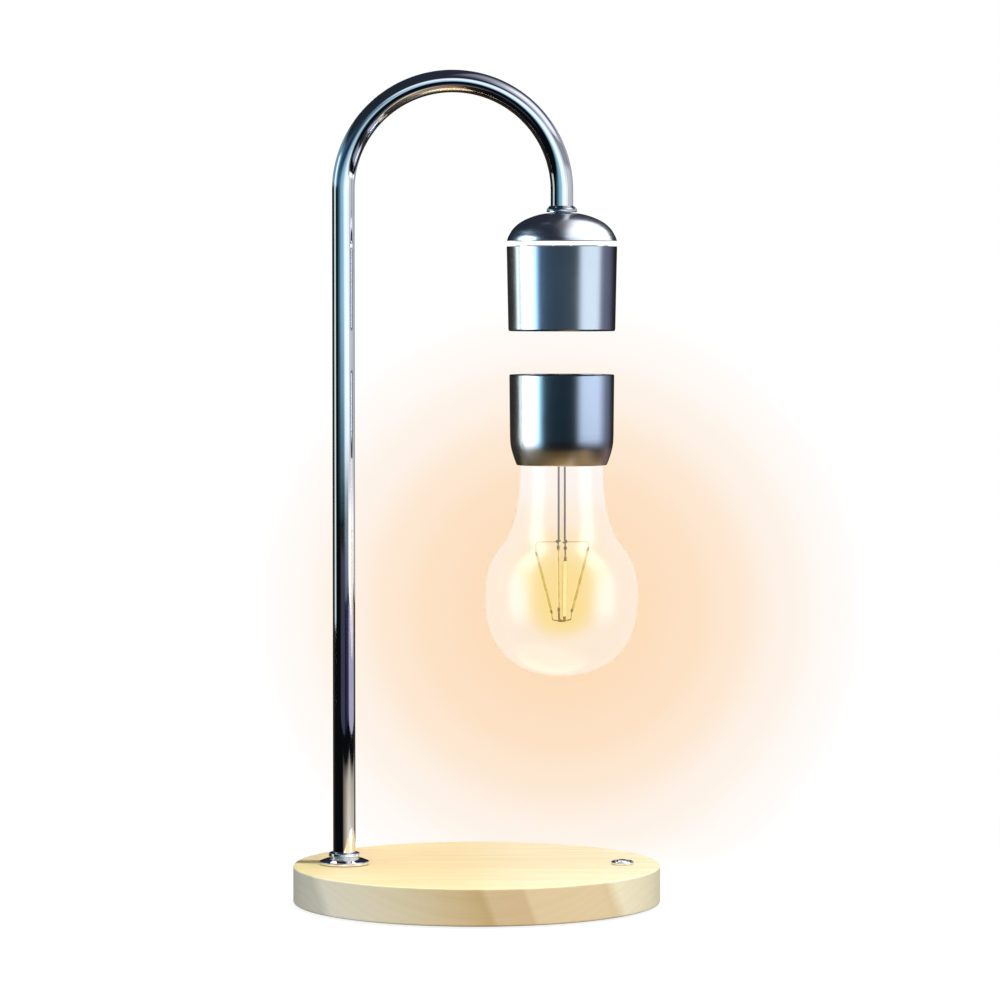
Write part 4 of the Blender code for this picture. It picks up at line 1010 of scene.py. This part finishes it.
below = t.mix(t.span(dy, 0.15, 0.6), below, (0.03, 0.02, 0.015))
room = t.mix(t.math("GREATER_THAN", dz, 0.0), below, above)
seen = t.node("ShaderNodeBackground")
t.put(seen.inputs[0], (1.0, 1.0, 1.0, 1.0))
dark = t.node("ShaderNodeBackground")
t.put(dark.inputs[0], room)
pick = t.node("ShaderNodeMixShader")
t.put(pick.inputs[0], t.node("ShaderNodeLightPath").outputs["Is Camera Ray"])
t.put(pick.inputs[1], dark.outputs[0])
t.put(pick.inputs[2], seen.outputs[0])
t.put(t.node("ShaderNodeOutputWorld").inputs["Surface"], pick.outputs[0])


def group(name, *starts):
    """Those shown pieces whose name begins so, for lights that are meant for them."""
    c = bpy.data.collections.new(name)
    for o in bpy.data.objects:
        if o.type == "MESH" and o.name.startswith(starts):
            c.objects.link(o)
    return c


SLEEVE_SET = group("lit_sleeve", "sleeve")
DOME_SET = group("lit_dome", "dome")
CUP_SET = group("lit_cup", "cup")
CHROME_SET = group("lit_chrome", "bent_tube", "arm_foot", "collar", "switch_rim", "switch_cap")
SMALL_CHROME_SET = group("lit_small_chrome", "arm_foot", "switch_rim", "switch_cap")
GLASS_SET = group("lit_glass", "glass", "stem")
REST_SET = group("lit_rest", "wood_base", "sweep", "steel_plate", "pad_", "plate_bolt", "inlet_", "head_bottom", "cup_top",
                 "lead_", "light_strip", "star", "neck_ring", "magnet_tray", "glow_ring")
WOOD_SET = group("lit_wood", "wood_base", "head_bottom")


def softbox(name, at, aim, width, height, across, level, only, up=None, lean=0.0):
    """A soft light at `at` that faces `aim` (mm), for the pieces in `only`.
    `across` is its colour from the side of lower azimuth to the other, `up` its
    strength from bottom to top, and `lean` tips its sides like a sloping blind."""
    data = bpy.data.lights.new(name, "AREA")
    data.shape = "RECTANGLE"
    data.size, data.size_y = width * MM, height * MM
    data.energy = 4 * data.size * data.size_y
    t = Tree(data)
    u, v = t.split(t.node("ShaderNodeNewGeometry").outputs["Parametric"])[:2]
    if lean:
        u = t.math("ADD", u, t.math("MULTIPLY", t.math("SUBTRACT", v, 0.5), lean))
    e = t.node("ShaderNodeEmission")
    t.put(e.inputs["Color"], t.ramp(u, across, "EASE") if len(across) > 1 else (*across[0][1], 1.0))
    if up:
        t.put(e.inputs["Strength"], t.math("MULTIPLY", t.ramp(v, up, "EASE"), level))
    else:
        e.inputs["Strength"].default_value = level
    t.put(t.node("ShaderNodeOutputLight").inputs["Surface"], e.outputs[0])
    ob = bpy.data.objects.new(name, data)
    ob.location = [w * MM for w in at]
    ob.rotation_mode = "QUATERNION"
    ob.rotation_quaternion = (Vector(aim) - Vector(at)).to_track_quat("-Z", "Y")
    scene.collection.objects.link(ob)
    ob.visible_camera = False
    ob.light_linking.receiver_collection = only
    return ob


def around(centre, azimuth, distance, height):
    """A point at that azimuth round (x, y): 0 is in front, 90 to the right."""
    a = math.radians(azimuth)
    return (centre[0] + distance * math.sin(a), centre[1] - distance * math.cos(a), height)


def wall(name, centre, distance, az0, az1, z0, z1, across, level, only, up=None, lean=0.0):
    """An upright light that spans those azimuths and heights round a place."""
    mid, z = (az0 + az1) / 2, (z0 + z1) / 2
    return softbox(name, around(centre, mid, distance, z), (*centre, z),
                   2 * distance * math.tan(math.radians(az1 - az0) / 2), z1 - z0, across, level, only, up, lean)


HEAD, TUBE = (HEAD_X, 0.0), (ARM_X, 0.0)
SOFT_ENDS = [(0.0, 0.3), (0.2, 1.0), (0.85, 1.0), (1.0, 0.3)]
CUP_LEFT_ENDS = [(0.0, 0.0), (0.05, 0.0), (0.10, 0.02), (0.216, 0.28), (0.346, 0.62), (0.45, 1.0), (0.85, 1.0), (1.0, 0.3)]
CUP_RIGHT_ENDS = [(0.0, 0.0), (0.08, 0.0), (0.184, 0.04), (0.332, 0.32), (0.44, 0.70), (0.5, 1.0), (0.85, 1.0), (1.0, 0.3)]
WHITE = (1.0, 1.0, 1.0)
LEFT_EDGE = [(0.0, (0.0, 0.0, 0.0)), (0.10, (0.9, 1.0, 1.0)), (0.67, WHITE), (0.83, (0.47, 0.84, 1.35)), (1.0, (0.05, 0.12, 0.23))]
RIGHT_EDGE = [(0.0, (0.05, 0.07, 0.09)), (0.18, (0.85, 0.98, 1.1)), (0.85, (0.85, 0.98, 1.1)), (1.0, (0.3, 0.32, 0.38))]

# sleeve of the head: white from the left, paler from the right, dim blue in front
wall("sleeve_left", HEAD, 600, -113, -50, 30, 540, LEFT_EDGE, 2.05, SLEEVE_SET, SOFT_ENDS)
wall("sleeve_right", HEAD, 600, 33, 89, 30, 540, RIGHT_EDGE, 1.0, SLEEVE_SET, SOFT_ENDS)
wall("sleeve_behind", HEAD, 600, 89, 140, 30, 540, [(0.0, (0.17, 0.19, 0.26)), (0.4, (0.12, 0.13, 0.20)), (1.0, (0.0, 0.0, 0.01))],
     1.0, SLEEVE_SET)
wall("sleeve_front", HEAD, 600, -46, 36, 30, 540, [(0.0, (0.045, 0.09, 0.14)), (0.4, (0.036, 0.062, 0.09)),
                                                   (1.0, (0.05, 0.075, 0.09))], 1.0, SLEEVE_SET)
# cup: the same boxes, bluer and darker in between; warm light from below
wall("cup_left", HEAD, 600, -108, -44, -110, 520, [(0.0, (0.0, 0.0, 0.0)), (0.09, (0.9, 1.0, 0.98)), (0.58, WHITE), (0.77, (0.56, 0.82, 1.05)),
                                                  (0.9, (0.17, 0.38, 0.5)), (1.0, (0.01, 0.04, 0.06))], 2.5, CUP_SET, CUP_LEFT_ENDS)
wall("cup_right", HEAD, 600, 30, 96, -110, 520, [(0.0, (0.06, 0.09, 0.12)), (0.25, (0.74, 0.88, 1.10)), (0.8, (0.78, 0.9, 1.17)),
                                                (1.0, (0.56, 0.64, 0.82))], 0.98, CUP_SET, CUP_RIGHT_ENDS)
wall("cup_behind", HEAD, 600, 96, 142, -110, 520, [(0.0, (0.44, 0.50, 0.66)), (0.4, (0.13, 0.17, 0.25)), (1.0, (0.0, 0.0, 0.01))], 1.0, CUP_SET,
     CUP_RIGHT_ENDS)
wall("cup_low_behind", HEAD, 600, 96, 158, -110, 170, [(0.0, (0.02, 0.01, 0.0)), (0.15, (0.06, 0.03, 0.01)), (0.55, (0.16, 0.105, 0.09)),
                                                      (1.0, (0.16, 0.11, 0.11))], 1.0, CUP_SET,
     [(0.0, 0.6), (0.1, 1.0), (0.62, 1.0), (0.74, 0.6), (0.95, 0.0), (1.0, 0.0)])
wall("cup_front", HEAD, 600, -44, 36, 130, 520, [(0.0, (0.005, 0.025, 0.04)), (1.0, (0.005, 0.015, 0.025))], 1.0, CUP_SET)
softbox("cup_warm", (20, -40, 60), (20, -40, 400), 800, 520,
        [(0.0, (0.06, 0.035, 0.015)), (0.06, (0.15, 0.09, 0.03)), (0.0875, (0.22, 0.13, 0.045)), (0.1225, (0.30, 0.18, 0.07)),
         (0.174, (0.35, 0.215, 0.095)), (0.3, (0.28, 0.17, 0.06)), (0.49, (0.38, 0.225, 0.085)), (0.58, (0.24, 0.15, 0.055)),
         (0.70, (0.13, 0.085, 0.035)), (0.84, (0.16, 0.115, 0.055)), (1.0, (0.10, 0.08, 0.05))], 1.0, CUP_SET,
        [(0.0, 0.0), (0.06, 0.10), (0.11, 0.42), (0.18, 0.78), (0.25, 1.0), (1.0, 1.0)])
# dome: one big light over its right shoulder that fades out overhead, a small one low on the left
softbox("dome_high", (324.6, -297, 768.8), (6.6, -297, 383.3), 1566, 943,
        [(0.0, (0.04, 0.05, 0.06)), (0.08, (0.13, 0.15, 0.18)), (0.27, (0.60, 0.65, 0.71)), (0.43, (0.74, 0.79, 0.85)), (0.58, WHITE),
         (0.88, WHITE), (0.95, (0.85, 0.87, 0.9)), (1.0, (0.22, 0.23, 0.28))], 1.0, DOME_SET,
        [(0.0, 1.6), (0.61, 1.6), (0.68, 1.32), (0.725, 1.02), (0.765, 0.58), (0.808, 0.22), (0.87, 0.08), (1.0, 0.03)])
wall("dome_left", HEAD, 600, -112, -60, 250, 760, [(0.0, (0.0, 0.0, 0.0)), (0.3, (0.72, 0.98, 1.22)), (0.7, (0.72, 0.98, 1.22)),
                                                  (1.0, (0.05, 0.1, 0.18))], 5.6, DOME_SET, SOFT_ENDS)
wall("dome_front", HEAD, 600, -60, 36, 30, 540, [(0.0, (0.045, 0.11, 0.19)), (1.0, (0.045, 0.07, 0.10))], 1.0, DOME_SET)

# chrome: walls of light, as a mirror would see a studio. The far ones meet
# the whole bend, the near low ones only the leg and the undersides.
FAR, MIDDLE, NEAR = 3000, 1500, 420
wall("chrome_front", TUBE, FAR, -26, 64, -60, 2100, [(0.0, (0.0, 0.0, 0.0)), (0.15, (0.03, 0.05, 0.07)), (0.235, (0.13, 0.2, 0.27)),
                                                    (0.33, (0.78, 0.92, 1.03)), (0.55, (0.92, 1.03, 1.13)), (0.85, (0.35, 0.41, 0.47)),
                                                    (1.0, (0.0, 0.0, 0.0))],
     0.93, CHROME_SET, [(0.0, 0.14), (0.045, 0.2), (0.085, 0.9), (0.12, 1.0), (0.7, 1.0), (0.92, 0.5), (1.0, 0.0)], 0.36)
wall("chrome_side", TUBE, FAR, 46, 118, -76, 1900, [(0.0, (0.1, 0.12, 0.14)), (0.18, (0.9, 0.9, 1.0)), (0.42, (1.2, 1.24, 1.32)),
                                                   (0.62, (1.1, 1.1, 1.15)), (1.0, (1.0, 0.95, 0.92))], 1.0, CHROME_SET,
     [(0.0, 1.0), (0.045, 1.0), (0.085, 0.42), (0.5, 0.42), (0.63, 0.2), (1.0, 0.18)])
wall("chrome_teal", TUBE, FAR, -62, 6, 40, 900, [(0.0, (0.0, 0.0, 0.0)), (0.18, (0.015, 0.05, 0.08)), (0.40, (0.06, 0.16, 0.22)),
                                                (0.58, (0.21, 0.39, 0.48)), (0.8, (0.23, 0.38, 0.48)), (1.0, (0.18, 0.30, 0.38))], 0.95, CHROME_SET,
     [(0.0, 0.1), (0.078, 0.32), (0.19, 0.72), (0.30, 1.05), (0.5, 1.0), (1.0, 0.1)])
HIGH_ENDS = [(0.0, 0.0), (0.11, 1.0), (0.62, 1.0), (0.76, 0.5), (1.0, 0.0)]
wall("chrome_left_high", TUBE, FAR, -150, -69, 460, 2100, [(0.0, (0.28, 0.38, 0.44)), (0.53, (0.12, 0.22, 0.29)), (0.78, (0.23, 0.39, 0.53)),
                                                          (0.89, (0.23, 0.39, 0.53)), (1.0, (0.08, 0.17, 0.26))], 0.95, CHROME_SET, HIGH_ENDS)
wall("chrome_blue_high", TUBE, FAR, -69, -30, 460, 2100, [(0.0, (0.06, 0.14, 0.23)), (0.3, (0.017, 0.06, 0.13)), (1.0, (0.004, 0.025, 0.06))],
     0.95, CHROME_SET, HIGH_ENDS)
wall("chrome_low_far", TUBE, FAR, 38, 114, -900, -330, [(0.0, (0.02, 0.03, 0.05)), (0.1, (0.07, 0.09, 0.14)), (0.35, (0.27, 0.30, 0.40)),
                                                       (0.68, (0.12, 0.13, 0.18)), (1.0, (0.08, 0.08, 0.10))], 0.95, CHROME_SET,
     [(0.0, 0.0), (0.25, 1.0), (0.85, 1.0), (1.0, 0.2)])
wall("chrome_strip", TUBE, FAR, -108, -82, -90, 1500, [(0.0, (0.15, 0.2, 0.2)), (0.25, (0.8, 0.95, 0.92)), (0.8, (0.9, 1.05, 1.0)),
                                                      (1.0, (0.1, 0.15, 0.15))], 0.66, CHROME_SET, [(0.0, 1.0), (0.85, 1.0), (1.0, 0.0)])
wall("chrome_behind", TUBE, FAR, 118, 168, -60, 1900, [(0.0, (0.38, 0.42, 0.47)), (1.0, (0.22, 0.25, 0.3))], 0.9, CHROME_SET)
wall("chrome_low", TUBE, NEAR, 48, 122, 42, 114, [(0.0, (0.05, 0.04, 0.10)), (0.14, (0.33, 0.31, 0.46)), (0.7, (0.34, 0.32, 0.44)),
                                                 (1.0, (0.24, 0.23, 0.28))], 1.0, CHROME_SET)
wall("chrome_low_front", TUBE, NEAR, -36, 48, 42, 156, [(0.0, (0.0, 0.0, 0.0)), (0.2, (0.04, 0.037, 0.065)), (0.5, (0.036, 0.036, 0.065)),
                                                       (0.6, (0.003, 0.003, 0.02)), (0.8, (0.02, 0.018, 0.04)), (1.0, (0.05, 0.04, 0.09))],
     1.0, CHROME_SET, [(0.0, 1.0), (0.88, 1.0), (1.0, 0.0)])
for name, az0, az1, across in (("chrome_warm_a", -14, 56, [(0.0, (0.0, 0.0, 0.0)), (0.2, (0.19, 0.16, 0.125)), (0.45, (0.36, 0.31, 0.25)),
                                                           (0.7, (0.60, 0.54, 0.44)), (1.0, (0.62, 0.56, 0.46))]),
                               ("chrome_warm_b", 56, 128, [(0.0, (0.62, 0.56, 0.46)), (1.0, (0.42, 0.37, 0.32))])):
    wall(name, TUBE, NEAR, az0, az1, -60, 24, across, 1.0, CHROME_SET, [(0.0, 0.99), (0.6, 0.9), (0.85, 0.72), (1.0, 0.18)])
softbox("chrome_high", around(TUBE, 75, 1180, 2020), (ARM_X, 0, 400), 3100, 2150,
        [(0.0, (0.10, 0.10, 0.14)), (0.18, (0.36, 0.38, 0.48)), (0.36, (0.72, 0.75, 0.86)), (0.52, (1.0, 1.03, 1.1)),
         (0.72, (0.72, 0.75, 0.80)), (0.88, (0.30, 0.32, 0.38)), (1.0, (0.05, 0.05, 0.08))], 0.95, CHROME_SET,
        [(0.0, 0.6), (0.12, 1.0), (0.45, 1.0), (0.75, 0.30), (1.0, 0.15)])
softbox("small_chrome_top", (60, 170, 500), (0, 0, 20), 700, 440, [(0.0, (0.75, 0.8, 0.95)), (0.5, WHITE), (1.0, WHITE)], 1.15,
        SMALL_CHROME_SET)

# glass: two tall boxes that it mirrors faintly
FADE = [(0.0, (0.0, 0.0, 0.0)), (0.35, WHITE), (0.65, WHITE), (1.0, (0.0, 0.0, 0.0))]
TALL_ENDS = [(0.0, 0.3), (0.10, 1.0), (0.26, 1.0), (0.40, 1.7), (0.9, 1.7), (1.0, 0.5)]
wall("glass_left", HEAD, 450, -90, -39, -40, 1500, FADE, 2.5, GLASS_SET, TALL_ENDS)
wall("glass_right", HEAD, 450, 39, 89, -40, 1500, FADE, 2.5, GLASS_SET, TALL_ENDS)

# wood, floor and small parts: broad light from above, the front and both sides
softbox("top_box", (150, -150, 1200), (20, 0, 0), 1100, 1100, [(0.0, (1.0, 0.99, 0.965))], 4.35, REST_SET)
softbox("side_box", (1500, -450, 400), (0, 0, 10), 700, 700, [(0.0, (1.0, 0.98, 0.95))], 6.5, REST_SET)
softbox("front_box", (-50, -1900, 420), (0, 0, 10), 900, 700, [(0.0, (1.0, 0.98, 0.94))], 6.6, REST_SET)
softbox("left_fill", (-1300, -900, 380), (0, 0, 10), 700, 700, [(0.0, (0.88, 0.95, 1.0))], 5.0, REST_SET)
for name, at in (("back_box", (250, 1500, 150)), ("back_left_box", (-1200, 900, 150))):
    softbox(name, at, (0, 0, 10), 900, 300, [(0.0, (1.0, 0.98, 0.95))], 6.0, REST_SET).visible_glossy = False
# the bulb's own light
data = bpy.data.lights.new("bulb_light", "POINT")
data.energy = 0.12
data.color = (1.0, 0.70, 0.38)
data.shadow_soft_size = 0.014
bulb_light = bpy.data.objects.new("bulb_light", data)
bulb_light.location = (HEAD_X * MM, 0, 0.158)
scene.collection.objects.link(bulb_light)
bulb_light.visible_camera = False
bulb_light.visible_glossy = False
bulb_light.light_linking.receiver_collection = WOOD_SET
